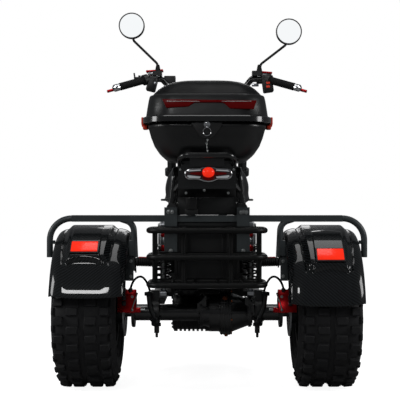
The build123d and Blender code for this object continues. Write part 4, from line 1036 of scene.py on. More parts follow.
@dataclass
class FrontFender:
    """The clear-coated twill fender over the steered wheel."""

    angle: float = 20.0
    arc: float = 110.0
    wall: float = 0.0035
    steps: int = 90
    # across, radius of the outer skin, from the hem to the middle
    outline: tuple = (
        (0.116, 0.2265), (0.116, 0.242), (0.112, 0.2485), (0.102, 0.2535), (0.086, 0.2575), (0.08, 0.256),
        (0.074, 0.259), (0.06, 0.26), (0.03, 0.26),
    )
    # both corners of a stay and its bolt, from the axle
    stay: tuple = ((0.113, -0.13, 0.215), (0.1267, -0.07, 0.235), (0.116, -0.09, 0.2))

    def build(self) -> None:
        """Makes the shell in place of its solid, with its stays."""
        form = Form()
        axle = Vector((0.0, FRONT_Y, AXLE_Z))
        verts = form.ring(both_halves(self.outline), across(*axle, self.angle))
        edges = [form.mesh.edges.new(pair) for pair in zip(verts, verts[1:])]
        form.spin(verts + edges, axle, (-1, 0, 0), math.radians(self.arc), self.steps)
        weave = form.mesh.loops.layers.uv.new("weave")
        top = max(up for _, up in self.outline)
        for loop in (loop for face in form.mesh.faces for loop in face.loops):
            spot = loop.vert.co - axle
            up = math.hypot(spot.y, spot.z)
            loop[weave].uv = (spot.x + math.copysign(top - up, spot.x), math.atan2(spot.z, -spot.y) * top)
        form.face_outwards(axle)
        shell = form.place("front_fender_shell", Paint.TWILL, Body.FORK, ["front_fender"], 60)
        add_wall(shell, self.wall)
        stays = Form()
        for side in SIDES:
            low, high, bolt = (Vector((side * x, FRONT_Y + y, AXLE_Z + z)) for x, y, z in self.stay)
            stays.block(low, high, 0.003)
            stays.bolt(bolt, (side, 0, 0), 0.004)
        stays.place("front_fender_stays", Paint.POWDER_COAT, Body.FORK)


# ---- Handlebar, saddle and pegs ----
@dataclass
class BarEnds:
    """Ribbed grips and turned chrome weights at the ends of the handlebar."""

    inner: tuple = (0.238, 0.262, 1.087)
    outer: tuple = (0.37, 0.19, 1.04)
    start: float = 0.028
    length: float = 0.112
    radius: float = 0.0165
    bore: float = 0.0124
    collar: float = 0.002
    groove: float = 0.0022
    rib: float = 0.0014
    ribs: int = 14
    # along and radius, from the sleeve's end
    weight: tuple = (
        (0.0, 0.0), (0.0, 0.0125), (0.002, 0.0145), (0.012, 0.015), (0.014, 0.0135), (0.016, 0.0148),
        (0.022, 0.0145), (0.027, 0.0095), (0.028, 0.0),
    )

    def build(self) -> None:
        """Makes both sleeves in place of their solids, and both weights."""
        sleeves, weights = Form(), Form()
        core, collar, end = self.radius - self.groove, self.radius + self.collar, self.start + self.length
        ribbed = [(self.start, self.bore), (self.start, collar), (self.start + 0.003, collar)]
        pitch = (self.length - 0.008) / self.ribs
        for index in range(self.ribs):
            at = self.start + 0.005 + pitch * index
            ribbed += [(at, core), (at + 0.3 * pitch, core + self.rib), (at + 0.7 * pitch, core + self.rib)]
        ribbed += [(end, core), (end, self.bore)]
        for side in SIDES:
            frame = lengthwise(*sided(side, self.inner, self.outer))
            sleeves.lathe(ribbed, frame, 32)
            weights.lathe([(end + 0.0005 + along, radius) for along, radius in self.weight], frame, 32)
        sleeves.place("grip_sleeves", Paint.RUBBER, Body.FORK, ["grips"], 50)
        weights.place("bar_end_weights", Paint.CHROME, Body.FORK)


@dataclass
class BarControls:
    """Switch pods, master cylinders, a display and a sleeved cable on the handlebar."""

    # middle across, foot, top, half width and roll in degrees of each pod
    switch_pods: tuple = ((-0.226, 1.034, 1.096, 0.0195, 14.0), (0.249, 1.03, 1.102, 0.0215, -8.0))
    pod_y: float = 0.264
    display: tuple = ((-0.179, 0.3, 1.058), (-0.131, 0.338, 1.105))
    perch: tuple = ((-0.3, 0.238, 1.083), (-0.268, 0.25, 1.092))
    small_lever: tuple = ((-0.296, 0.244, 1.088), (-0.299, 0.244, 1.108))
    knob: tuple = ((-0.279, 0.25, 1.08), (-0.277, 0.25, 1.099))
    keys: tuple = ((0.25, 0.2375, 1.067), (0.25, 0.2375, 1.052))
    button: tuple = ((-0.212, 0.242, 1.066), (-0.212, 0.236, 1.066))
    # middle of each master cylinder's cap, and its tilt in degrees
    cylinder_caps: tuple = ((-0.217, 0.296, 1.1215, 4.0), (0.2345, 0.296, 1.1155, -4.5))
    barrel: tuple = ((0.206, 0.3, 1.086), (0.25, 0.288, 1.086))
    sleeve: tuple = ((0.228, 0.27, 1.08), (0.196, 0.286, 1.105), (0.166, 0.318, 1.085), (0.158, 0.338, 1.058))
    clip: tuple = ((0.186, 0.28, 1.058), (0.214, 0.29, 1.07))

    def pods(self) -> None:
        """Adds the switch pods, the display and the small lever above the left grip."""
        form = Form()
        for x, low, high, half, roll in self.switch_pods:
            turn = moved(x, self.pod_y, (low + high) / 2) @ turned(roll, "Y")
            tall = (high - low) / 2
            form.block((-half, -0.022, -tall), (half, 0.022, tall), 0.006, 3, turn)
            form.block((-half * 0.8, -0.026, -tall * 0.75), (half * 0.8, -0.02, tall * 0.6), 0.002, 2, turn)
        form.block(*self.display, 0.004, 3)
        form.block(*self.perch, 0.003, 2)
        form.rod(*self.small_lever, 0.0032, sides=12)
        form.rod(*self.knob, 0.005, sides=16, bevel=0.001)
        form.place("switch_pods", Paint.MOULDED, Body.FORK, crease=40)
        keys = Form()
        for spot in self.keys:
            turn = moved(*spot) @ turned(self.switch_pods[1][-1], "Y")
            keys.block((-0.0075, -0.003, -0.0048), (0.0075, 0.002, 0.0048), 0.0012, 2, turn)
        keys.place("switch_keys", Paint.RED_ABS, Body.FORK)
        button = Form()
        button.rod(*self.button, 0.0055, sides=20, bevel=0.001)
        button.place("switch_button", Paint.SILVER, Body.FORK)

    def cylinders(self) -> None:
        """Adds the silver master cylinders and their red caps."""
        bodies, caps = Form(), Form()
        for side, (x, y, z, tilt) in zip(SIDES, self.cylinder_caps):
            turn = moved(x, y, z) @ turned(-tilt, "Y")
            bodies.block((-0.029, -0.02, -0.016), (0.029, 0.02, -0.003), 0.003, 2, turn)
            bodies.rod(*sided(side, *self.barrel), 0.0085, bevel=0.001)
            caps.block((-0.0355, -0.024, -0.003), (0.0355, 0.024, 0.0045), 0.0025, 3, turn)
            for dx in (-0.026, 0.026):
                bodies.bolt(turn @ Vector((dx, 0.0, 0.0045)), turn.to_3x3() @ Vector((0, 0, 1)), 0.0024)
        bodies.place("master_cylinders", Paint.SILVER, Body.FORK)
        caps.place("cylinder_caps", Paint.RED_ANODISED, Body.FORK)

    def cables(self) -> None:
        """Adds the sleeved cable that loops over from the right pod to the bar, and its clip."""
        form = Form()
        form.pipe(self.sleeve, 0.0058)
        form.place("bar_cable_sleeve", Paint.RUBBER, Body.FORK, crease=60)
        clip = Form()
        clip.block(*self.clip)
        clip.bolt((0.2, 0.279, 1.064), (0, -1, 0), 0.003)
        clip.place("cable_clip", Paint.SILVER, Body.FORK)

    def build(self) -> None:
        """Makes everything clamped to the handlebar."""
        self.pods()
        self.cylinders()
        self.cables()


@dataclass
class MirrorTrim:
    """Rubber boots, stem nuts and dark rims of the round mirrors."""

    y: float = 0.236
    radius: float = 0.0525
    boots: tuple = ((-0.203, 0.27, 1.1193), (0.216, 0.27, 1.1193))
    glasses: tuple = ((-0.308, 1.3), (0.335, 1.276))
    # along and radius
    boot: tuple = (
        (-0.014, 0.0), (-0.014, 0.0125), (-0.004, 0.013), (0.004, 0.0112), (0.018, 0.0085),
        (0.026, 0.0066), (0.028, 0.0),
    )
    # along and how far outside the glass
    rim: tuple = ((-0.0088, -0.0042), (-0.01, -0.002), (-0.0088, 0.0004), (0.006, 0.0006), (0.006, -0.003))

    def build(self) -> None:
        """Makes the boots, the nuts and the rims."""
        boots, nuts, rims = Form(), Form(), Form()
        for x, y, z in self.boots:
            boots.lathe(self.boot, moved(x, y, z) @ UPRIGHT, 28)
            nuts.nut((x, y, z - 0.024), (x, y, z - 0.014), 0.0095)
        for x, z in self.glasses:
            rim = [(along, self.radius + out) for along, out in self.rim]
            rims.lathe(rim, moved(x, self.y, z) @ FORWARDS, 64)
            rims.ball((x, self.y + 0.01, z), self.radius * 0.94, (1.0, 0.3, 1.0))
        boots.place("mirror_boots", Paint.RUBBER, Body.FORK)
        nuts.place("mirror_nuts", Paint.ZINC, Body.FORK)
        rims.place("mirror_rims", Paint.MOULDED, Body.FORK, crease=50)


@dataclass
class PegTrim:
    """Ribbed peg rubbers with red inlays, and the plates that hold the fenders' inner sides."""

    pivot: tuple = (0.1423, -0.324, 0.366)
    tip: tuple = (0.252, -0.33, 0.37)
    ribs: int = 7
    rib_start: float = 0.053
    rib_pitch: float = 0.0072
    # along and radius
    pivot_cap: tuple = ((-0.006, 0.0), (-0.006, 0.017), (0.01, 0.019), (0.034, 0.0135), (0.036, 0.0))
    inlay: tuple = ((0.054, -0.008, 0.0135), (0.098, 0.008, 0.0178))
    plate: tuple = ((0.2235, REAR_Y - 0.1035, 0.338), (0.247, REAR_Y - 0.0985, 0.414))
    plate_bolts: tuple = ((0.2315, REAR_Y - 0.1035, 0.352), (0.2315, REAR_Y - 0.1035, 0.398))

    def build(self) -> None:
        """Makes the rubbers, the inlays, the plates and their bolts."""
        rubber, inlay, plates, bolts = Form(), Form(), Form(), Form()
        sleeve = [(0.046, 0.0112), (0.046, 0.016), (0.05, 0.0165)]
        for index in range(self.ribs):
            at = self.rib_start + self.rib_pitch * index
            sleeve += [(at, 0.014), (at + 0.002, 0.0162), (at + 0.0045, 0.0162)]
        sleeve += [(0.106, 0.014), (0.1085, 0.0125), (0.1105, 0.0112)]
        for side in SIDES:
            frame = lengthwise(*sided(side, self.pivot, self.tip))
            rubber.lathe(sleeve, frame, 28)
            rubber.lathe(self.pivot_cap, frame, 28)
            inlay.block(*self.inlay, 0.002, 2, frame)
            plates.block(*sided(side, *self.plate))
            for spot in sided(side, *self.plate_bolts):
                bolts.bolt(spot, (0, -1, 0), 0.0035)
        rubber.place("peg_rubbers", Paint.RUBBER, crease=50)
        inlay.place("peg_inlays", Paint.RED_INLAY)
        plates.place("fender_inner_plates", Paint.BRACKET)
        bolts.place("fender_plate_bolts", Paint.ZINC)


@dataclass
class Saddle:
    """The stuffed two-step saddle: a broad rear pad, a lower front pad and a piped seam round its foot."""

    low: float = 0.577
    # y, half width up the side, half width at the foot, height of the top
    sections: tuple = (
        (-0.56, 0.1, 0.1, 0.676),
        (-0.545, 0.123, 0.118, 0.7),
        (-0.51, 0.135, 0.132, 0.712),
        (-0.45, 0.141, 0.144, 0.71),
        (-0.39, 0.139, 0.152, 0.703),
        (-0.355, 0.132, 0.156, 0.684),
        (-0.33, 0.129, 0.158, 0.664),
        (-0.26, 0.114, 0.156, 0.656),
        (-0.18, 0.102, 0.14, 0.654),
        (-0.1, 0.082, 0.104, 0.651),
        (-0.05, 0.062, 0.074, 0.643),
        (-0.028, 0.044, 0.052, 0.628),
    )
    steps: int = 20
    foot_rise: float = 0.008
    fullness: float = 0.55
    flank: float = 0.74
    flank_reach: float = 1.5
    voxel: float = 0.006
    pressure: float = 3.0
    cap: float = 0.01
    sag: float = 0.0012
    frames: int = 16
    welt_radius: float = 0.0036

    def outline(self, section: tuple) -> list[Vector]:
        """Half of a lens-shaped section over the pad, from its left foot to its right foot."""
        y, half, foot, top = section
        start = self.low + self.foot_rise
        points = []
        for index in range(self.steps + 1):
            angle = math.pi * index / self.steps
            up = max(0.0, math.sin(angle)) ** self.fullness
            wide = foot + (half - foot) * min(1.0, up * self.flank_reach)
            out = math.copysign(abs(math.cos(angle)) ** self.flank, math.cos(angle)) * wide
            points.append(Vector((-out, y, start + (top - start) * up)))
        return [Vector((-foot, y, self.low)), *points, Vector((foot, y, self.low))]

    def shell(self, form: Form) -> None:
        """Adds the closed pad through its sections."""
        rings = [[form.mesh.verts.new(point) for point in self.outline(section)] for section in self.sections]
        for ring, following in zip(rings, rings[1:]):
            count = len(ring)
            for index in range(count):
                after = (index + 1) % count
                form.mesh.faces.new((ring[index], ring[after], following[after], following[index]))
        form.mesh.faces.new(rings[0])
        form.mesh.faces.new(list(reversed(rings[-1])))
        form.recalc()

    def swell(self, pad: Object) -> None:
        """Remeshes the pad and lets it fill like stuffed fabric, within a small cap."""
        scene = bpy.context.scene
        remesh = pad.modifiers.new("even", "REMESH")
        remesh.mode = "VOXEL"
        remesh.voxel_size = self.voxel
        self.bake(pad)
        before = [vert.co.copy() for vert in pad.data.vertices]
        cloth = pad.modifiers.new("stuffing", "CLOTH")
        cloth.settings.use_pressure = True
        cloth.settings.uniform_pressure_force = self.pressure
        cloth.settings.effector_weights.gravity = 0.0
        cloth.point_cache.frame_end = self.frames
        for frame in range(1, self.frames + 1):
            scene.frame_set(frame)
        self.bake(pad)
        scene.frame_set(1)
        for vert, start in zip(pad.data.vertices, before):
            swelling = vert.co - start
            if swelling.length > self.cap:
                vert.co = start + swelling.normalized() * self.cap
            vert.co.z = max(vert.co.z, self.low - self.sag)

    def bake(self, pad: Object) -> None:
        """Applies the pad's modifiers to its mesh."""
        graph = bpy.context.evaluated_depsgraph_get()
        done = bpy.data.meshes.new_from_object(pad.evaluated_get(graph))
        pad.modifiers.clear()
        pad.data = done

    def piping(self) -> None:
        """Adds the welt round the pad's foot."""
        left = [(-foot - 0.001, y, self.low + 0.009) for y, _, foot, _ in self.sections]
        right = [(-x, y, z) for x, y, z in reversed(left)]
        form = Form()
        form.pipe(left + right, self.welt_radius, closed=True)
        form.place("saddle_piping", Paint.VINYL, crease=60)

    def build(self) -> None:
        """Makes the pad in place of its solid."""
        form = Form()
        self.shell(form)
        pad = form.place("saddle_pad", Paint.VINYL, Body.CHASSIS, ["saddle"], 60)
        self.swell(pad)
        pad.data.shade_smooth()
        smooth = pad.modifiers.new("even", "SUBSURF")
        smooth.levels = smooth.render_levels = 1
        self.piping()


# ---- Top box ----
@dataclass
class TopBox:
    """The moulded top box: a tapered base, a domed lid, and what is fixed to them."""

    y: float = REAR_Y - 0.09
    seam: float = 0.808
    wall: float = 0.004
    corner_share: float = 0.47  # of the half width
    corner_steps: int = 14
    side_cuts: int = 7
    crown_inset: float = 0.008
    hinge_y: float = REAR_Y - 0.09 + 0.198
    knuckle_radius: float = 0.006
    # both ends across, the leaf's start from the middle, its foot and top from the seam
    lid_knuckle: tuple = (0.0445, 0.0745, 0.1865, 0.001, 0.006)
    base_knuckle: tuple = (0.075, 0.105, 0.171, -0.011, -0.004)
    # the lid's faces above this height take the darker top plastic, painted shade
    painted_shade_above: float = 0.8908
    glossy_below: float = 0.826
    lock_y: float = REAR_Y - 0.09 - 0.1745
    lock_z: float = 0.7995
    guard_z: float = 0.802
    # across and up, the right half
    guard: tuple = ((0.046, 0.0055), (0.042, -0.004), (0.02, -0.034), (0.01, -0.042))
    ring_radius: float = 0.0115
    chain_links: int = 15
    chain_top: float = 0.766
    link_pitch: float = 0.005
    chain_lean: float = 0.33
    lens_y: float = REAR_Y - 0.09 - 0.1738
    lens_z: float = 0.8605
    lens_lean: float = 9.5
    # across and up, round the wide reflector on the lid
    lens: tuple = (
        (-0.129, 0.0125), (-0.117, -0.0125), (-0.054, -0.0085), (-0.036, 0.0035), (0.04, 0.0035),
        (0.049, 0.0015), (0.066, -0.0145), (0.134, -0.0165), (0.143, 0.0085),
    )
    trim_bars: tuple = ((-0.114, -0.022), (0.042, 0.128))
    # two corners, from the box's middle, and the rounding of each block of a latch
    latch: tuple = (
        ((0.1893, -0.06, 0.809), (0.197, -0.02, 0.832), 0.0025, 3),
        ((0.179, -0.056, 0.796), (0.1925, -0.024, 0.808), 0.002, 3),
        ((0.185, -0.054, 0.804), (0.196, -0.026, 0.812), 0.002, 2),
    )
    # height, half width, half depth
    base_sections: tuple = (
        (0.7002, 0.112, 0.125), (0.7014, 0.118, 0.131), (0.709, 0.128, 0.139), (0.72, 0.1405, 0.147),
        (0.742, 0.1555, 0.1595), (0.768, 0.1655, 0.168), (0.79, 0.1715, 0.173), (0.7935, 0.1735, 0.175),
        (0.8078, 0.174, 0.1755),
    )
    lid_sections: tuple = (
        (0.8083, 0.1875, 0.1885), (0.8095, 0.189, 0.19), (0.824, 0.1888, 0.1898), (0.8262, 0.187, 0.188),
        (0.827, 0.181, 0.182), (0.832, 0.1795, 0.18), (0.853, 0.1765, 0.176), (0.876, 0.1728, 0.171),
        (0.888, 0.17, 0.167), (0.8905, 0.168, 0.165), (0.8915, 0.1625, 0.16), (0.9, 0.1555, 0.152),
        (0.911, 0.145, 0.1405), (0.921, 0.1325, 0.127), (0.929, 0.1185, 0.112), (0.935, 0.103, 0.096),
        (0.9395, 0.084, 0.077), (0.943, 0.058, 0.053), (0.9445, 0.029, 0.027),
    )

    def shell(self, sections: Sequence, close_last: bool) -> Form:
        """Draws an open shell through rounded sections.

        Args:
            sections: Height, half width and half depth of each, from the open end or the floor.
            close_last: Whether the last section is closed, else the first.

        Returns:
            The shell, open at its other end.
        """
        form = Form()
        verts = bmesh.ops.create_grid(form.mesh, x_segments=1, y_segments=1, size=1.0)["verts"]
        height, half_w, half_d = sections[0]
        options = {"segments": self.corner_steps, "profile": 0.5, "affect": "VERTICES", "material": -1}
        bmesh.ops.bevel(form.mesh, geom=verts, offset=self.corner_share, **options)
        straight = [e for e in form.mesh.edges if e.calc_length() > 1 - self.corner_share]
        bmesh.ops.subdivide_edges(form.mesh, edges=straight, cuts=self.side_cuts)
        face = form.mesh.faces[:][0]
        for vert in form.mesh.verts:
            vert.co = (vert.co.x * half_w, vert.co.y * half_d + self.y, height)
        first = face
        centre = Vector((0.0, self.y, 0.0))
        for (low, w, d), (high, next_w, next_d) in zip(sections, sections[1:]):
            made = bmesh.ops.extrude_face_region(form.mesh, geom=[face])["geom"]
            old, face = face, next(g for g in made if isinstance(g, bmesh.types.BMFace))
            ring = list(face.verts)
            bmesh.ops.scale(
                form.mesh, verts=ring, vec=(next_w / w, next_d / d, 1.0), space=Matrix.Translation(-centre)
            )
            bmesh.ops.translate(form.mesh, verts=ring, vec=(0.0, 0.0, high - low))
            if old.is_valid and (old is not first or close_last):
                bmesh.ops.delete(form.mesh, geom=[old], context="FACES_ONLY")
        if not close_last:
            bmesh.ops.delete(form.mesh, geom=[face], context="FACES_ONLY")
        else:
            bmesh.ops.inset_region(form.mesh, faces=[face], thickness=self.crown_inset)
        form.face_outwards(Vector((0.0, self.y, (sections[0][0] + sections[-1][0]) / 2)))
        return form

    def knuckles(self, form: Form, side: int, on_lid: bool) -> None:
        """Adds one hinge knuckle and its leaf to the base or the lid."""
        inner, outer, leaf, foot, top = self.lid_knuckle if on_lid else self.base_knuckle
        corners = ((inner, self.y + leaf, self.seam + foot), (outer, self.hinge_y, self.seam + top))
        form.block(*sided(side, *corners), 0.001)
        form.pin(side * inner, side * outer, self.hinge_y, self.seam, self.knuckle_radius, bevel=0.0008)

    def lock(self) -> None:
        """Adds the lock's barrel, its guard, the key ring and the fine chain below."""
        guard = Form()
        seat = moved(0.0, self.lock_y - 0.0015, self.guard_z) @ REARWARDS
        guard.prism(both_halves(self.guard), seat, 0.0055, 0.0016, 3)
        guard.place("lock_guard", Paint.MOULDED)
        face = self.lock_y - 0.004
        spot, out = Vector((0.0, face, self.lock_z)), Vector((0.0, -1.0, 0.0))
        barrel = Form()
        barrel.rod(spot, spot + out * 0.007, 0.0105, 0.0095, sides=32, bevel=0.0008)
        barrel.rod(spot + out * 0.006, spot + out * 0.0085, 0.0062, bevel=0.0004)
        barrel.place("lock_barrel", Paint.CHROME)
        ring, wide = Form(), self.ring_radius
        middle = spot + Vector((0.0, -0.0105, -0.0205))
        round_ring = ((wide * math.sin(a), -0.002 * math.cos(a), wide * math.cos(a)) for a in round_turn(20))
        ring.pipe([middle + Vector(step) for step in round_ring], 0.0009, closed=True)
        ring.place("key_ring", Paint.CHROME)
        chain = Form()
        for index in range(self.chain_links):
            top = self.chain_top - self.link_pitch * index
            depth = face + max(0.0, self.chain_top + 0.002 - top) * self.chain_lean
            turn = moved(0.0015 * math.sin(index), depth, top) @ turned(90 * (index % 2), "Z")
            link = [turn @ Vector((0.0014 * math.sin(a), 0.0, 0.0034 * math.cos(a))) for a in round_turn(8)]
            chain.pipe(link, 0.0006, sides=1, closed=True)
        chain.place("lock_chain", Paint.ZINC)

    def reflector(self) -> None:
        """Adds the wide red reflector and the thin bars in it on the lid's rear face."""
        seat = moved(0.0, self.lens_y, self.lens_z) @ turned(90 - self.lens_lean, "X")
        # The lens's dark red finish glows: painted light, for a reflector is no lamp.
        lens = Form()
        lens.prism(self.lens, seat, 0.0055, 0.0014, 2)
        lens.place("lid_reflector_lens", Paint.DARK_RED_LENS, Body.LID, ["lid_reflector"])
        trim = Form()
        for start, end in self.trim_bars:
            trim.block((start, 0.0048, 0.0045), (end, 0.0062, 0.0062), 0.0004, 1, seat)
        trim.place("lid_trim_bars", Paint.ZINC, Body.LID)

    def latches(self) -> None:
        """Adds the orange-red latches that hold the lid down, one each side."""
        form = Form()
        for side in SIDES:
            for low, high, rounding, steps in self.latch:
                low, high = sided(side, low, high)
                low.y += self.y
                high.y += self.y
                form.block(low, high, rounding, steps)
        form.place("lid_latches", Paint.RED_ABS, Body.LID, ["box_latches"])

    def build(self) -> None:
        """Makes the whole box."""
        base = self.shell(self.base_sections, close_last=False)
        for side in SIDES:
            self.knuckles(base, side, on_lid=False)
        add_wall(base.place("box_base_shell", Paint.BOX, Body.CHASSIS, ["box_base"], 38), self.wall)
        lid_form = self.shell(self.lid_sections, close_last=True)
        lid = lid_form.place("box_lid_shell", Paint.BOX, Body.LID, ["box_lid"], 38)
        for finish in (Paint.BOX_TOP, Paint.GLOSS_BLACK):
            lid.data.materials.append(finish.material())
        # Faces above that height get the darker copy, painted shade on the lid's top; the rim band below gets
        # gloss black.
        for face in lid.data.polygons:
            if face.center.z > self.painted_shade_above:
                face.material_index = 1
            elif face.center.z < self.glossy_below:
                face.material_index = 2
        add_wall(lid, self.wall)
        hinges = Form()
        for side in SIDES:
            self.knuckles(hinges, side, on_lid=True)
        hinges.place("lid_hinges", Paint.MOULDED, Body.LID)
        self.reflector()
        self.latches()
        self.lock()


# ---- Wheel centres, fork, lamp and deck ----
@dataclass
class WheelTrim:
    """Hub caps, wheel nuts and valves on the wheels, and the axle nuts of the front wheel."""

    hub_end: float = 0.428
    nuts: int = 5
    first_nut: float = 18.0
    nut_circle: float = 0.0255
    valve_x: float = HALF_TRACK + 0.02
    valve_angle: float = 54.0
    valve: Pair = (0.074, 0.1)
    axle_end: float = 0.177
    # length, radius, sides and rounding of the front axle's washer and nut
    axle_nut: tuple = ((0.004, 0.0155, 32, 0.0008), (0.011, 0.011, 6, 0.001))

    def build(self) -> None:
        """Makes one set of trim for each wheel."""
        for side, body in ((-1, Body.REAR_LEFT), (1, Body.REAR_RIGHT)):
            metal, rubber = Form(), Form()
            hub = side * self.hub_end
            for index in range(self.nuts):
                spot = around(hub, self.first_nut + 360 / self.nuts * index, self.nut_circle)
                metal.bolt(spot, (side, 0, 0), 0.0062, socket=False)
            metal.nut((hub, REAR_Y, AXLE_Z), (hub + side * 0.016, REAR_Y, AXLE_Z), 0.0105)
            rubber.rod(*(around(side * self.valve_x, self.valve_angle, up) for up in self.valve), 0.0035)
            name = body.value.replace("_wheel", "")
            metal.place(f"{name}_wheel_nuts", Paint.ZINC, body)
            rubber.place(f"{name}_valve", Paint.RUBBER, body)
        metal = Form()
        for side in SIDES:
            end = side * self.axle_end
            for length, radius, sides, rounding in self.axle_nut:
                metal.pin(end, end + side * length, FRONT_Y, AXLE_Z, radius, sides, rounding)
        metal.place("front_axle_nuts", Paint.ZINC, Body.FORK)


@dataclass
class ForkTrim:
    """Dust seals on the legs, caps on the leg tops, the stem's nut and the front caliper's pistons."""

    leg_x: float = 0.152
    seal: Pair = (0.33, 0.342)
    # where each leg's cap and its nut start and end
    leg_cap: tuple = (0.772, 0.777, 0.784)
    stem_nut: Pair = (0.77, 0.78)
    pistons: Pair = (22.0, 43.0)
    piston: tuple = ((-0.0995, 0.0, 0.078), (-0.103, 0.0, 0.078))
    bridge_bolt: tuple = (-0.116, 0.0, 0.0982)

    def build(self) -> None:
        """Makes the seals, caps and pistons."""
        seals, caps = Form(), Form()
        for side in SIDES:
            low, high = (steering(side * self.leg_x, FORK_OFFSET, along) for along in self.seal)
            seals.rod(low, high, 0.0235, sides=32, bevel=0.002)
            top, over, end = (steering(side * self.leg_x, FORK_OFFSET, along) for along in self.leg_cap)
            caps.rod(top, over, 0.0165, sides=32, bevel=0.001)
            caps.nut(over, end, 0.0095)
        caps.nut(*(steering(0.0, 0.0, along) for along in self.stem_nut), 0.015)
        seals.place("fork_seals", Paint.RUBBER, Body.FORK)
        caps.place("fork_caps", Paint.ZINC, Body.FORK)
        pistons = Form()
        for degrees in self.pistons:
            turn = across(0.0, FRONT_Y, AXLE_Z, degrees)
            pistons.rod(*(turn @ Vector(end) for end in self.piston), 0.0135, sides=32, bevel=0.0008)
            pistons.bolt(turn @ Vector(self.bridge_bolt), turn.to_3x3() @ Vector((0, 0, 1)), 0.0042)
        pistons.place("front_caliper_pistons", Paint.ZINC, Body.FORK)


@dataclass
class HeadlampTrim:
    """The fluted glass, the plated bezel and the vent ring of the round headlamp."""

    ahead: float = 0.175
    along: float = 0.65
    radius: float = 0.08
    flutes: int = 11
    flute_pitch: float = 0.0115
    flute_half: float = 0.0012
    flute_share: float = 0.484  # of the glass, up and down
    bulge: float = 0.003
    glass_front: float = 0.0465
    # along, and how far outside the lamp's radius
    bezel: tuple = (
        (0.0225, 0.0002), (0.0225, 0.0012), (0.0405, 0.0012), (0.0432, -0.001), (0.0432, -0.007),
        (0.0418, -0.0082), (0.0405, 0.0002),
    )
    # along and radius of each ring behind the lamp
    rings: tuple = ((-0.012, 0.0735), (0.0, 0.076))

    def build(self) -> None:
        """Makes the glass, the bezel and the rings behind it."""
        spot = steering(0.0, self.ahead, self.along)
        frame = moved(*spot) @ FORWARDS
        out = self.radius
        glass, bezel, rings = Form(), Form(), Form()
        edge = [(0.0362, out - 0.0082), (0.038, out - 0.0085), (0.0475, out - 0.04)]
        glass.lathe([(0.034, 0.0), *edge, (0.0502, 0.0)], frame, 64)
        for index in range(self.flutes):
            x = (index - (self.flutes - 1) / 2) * self.flute_pitch
            tall = self.flute_share * math.sqrt(max(0.0, (out - 0.01) ** 2 - x**2))
            front = spot.y + self.glass_front + self.bulge * (1 - (abs(x) / (out - 0.01)) ** 2)
            low = (spot.x + x - self.flute_half, front - 0.01, spot.z - tall)
            high = (spot.x + x + self.flute_half, front, spot.z + tall)
            glass.block(low, high, 0.0005, 1)
        bezel.lathe([(at, out + proud) for at, proud in self.bezel], frame, 72)
        for at, size in self.rings:
            section = [(at - 0.0015, size - 0.004), (at, size + 0.0012), (at + 0.0015, size - 0.003)]
            rings.lathe(section, frame, 64)
        glass.place("headlamp_glass", Paint.LAMP_GLASS, Body.FORK, crease=30)
        bezel.place("headlamp_bezel", Paint.CHROME, Body.FORK)
        rings.place("headlamp_rings", Paint.GLOSS_BLACK, Body.FORK)


@dataclass
class DeckMat:
    """The ribbed rubber mat on the deck."""

    half: float = 0.148
    rear_y: float = -0.126
    front_y: float = 0.25
    top: float = 0.2382
    thick: float = 0.0022
    ribs: int = 16
    rib_half: float = 0.0035
    rib_rise: float = 0.0018
    margin: float = 0.012
    screw_inset: float = 0.008

    def build(self) -> None:
        """Makes the mat with its long ribs and the screws at its corners."""
        mat, screws = Form(), Form()
        face = self.top + self.thick
        mat.block((-self.half, self.rear_y, self.top), (self.half, self.front_y, face), 0.0008, 1)
        pitch = 2 * (self.half - self.margin) / (self.ribs - 1)
        for index in range(self.ribs):
            x = -self.half + self.margin + pitch * index
            low = (x - self.rib_half, self.rear_y + 0.01, self.top + self.thick / 2)
            high = (x + self.rib_half, self.front_y - 0.01, face + self.rib_rise)
            mat.block(low, high, 0.0008, 1)
        for side in SIDES:
            for y in (self.rear_y + self.screw_inset, self.front_y - self.screw_inset):
                screws.bolt((side * (self.half + self.screw_inset), y, self.top), (0, 0, 1), 0.0038)
        mat.place("deck_mat", Paint.RUBBER)
        screws.place("deck_screws", Paint.ZINC)


@dataclass
class CaseTrim:
    """The battery case's lid flange with its screws, and the nuts of the swing arms' pivot."""

    half: float = 0.1
    flange_z: float = 0.486
    flange: Pair = (-0.001, 0.003)
    ends: Pair = (REAR_Y - 0.088, -0.212)
    screws: int = 6
    first_screw: float = 0.035
    last_screw: float = 0.04
    pivot: Pair = (REAR_Y + 0.33, 0.262)
    arm_outside: float = 0.1899

    def build(self) -> None:
        """Makes the flange, its screws and the pivot's nuts."""
        flange, screws = Form(), Form()
        rear, front = self.ends
        pitch = (front - rear - self.first_screw - self.last_screw) / (self.screws - 1)
        for side in SIDES:
            inner, outer = (self.half + step for step in self.flange)
            corners = ((inner, rear + 0.002, self.flange_z), (outer, front - 0.004, self.flange_z + 0.008))
            flange.block(*sided(side, *corners), 0.001)
            for index in range(self.screws):
                y = rear + self.first_screw + index * pitch
                screws.bolt((side * (self.half + 0.0002), y, self.flange_z - 0.012), (side, 0, 0), 0.0032)
            outside = side * self.arm_outside
            screws.nut((outside, *self.pivot), (outside + side * 0.009, *self.pivot), 0.0105)
        flange.place("case_flange", Paint.MOULDED)
        screws.place("case_screws", Paint.ZINC)


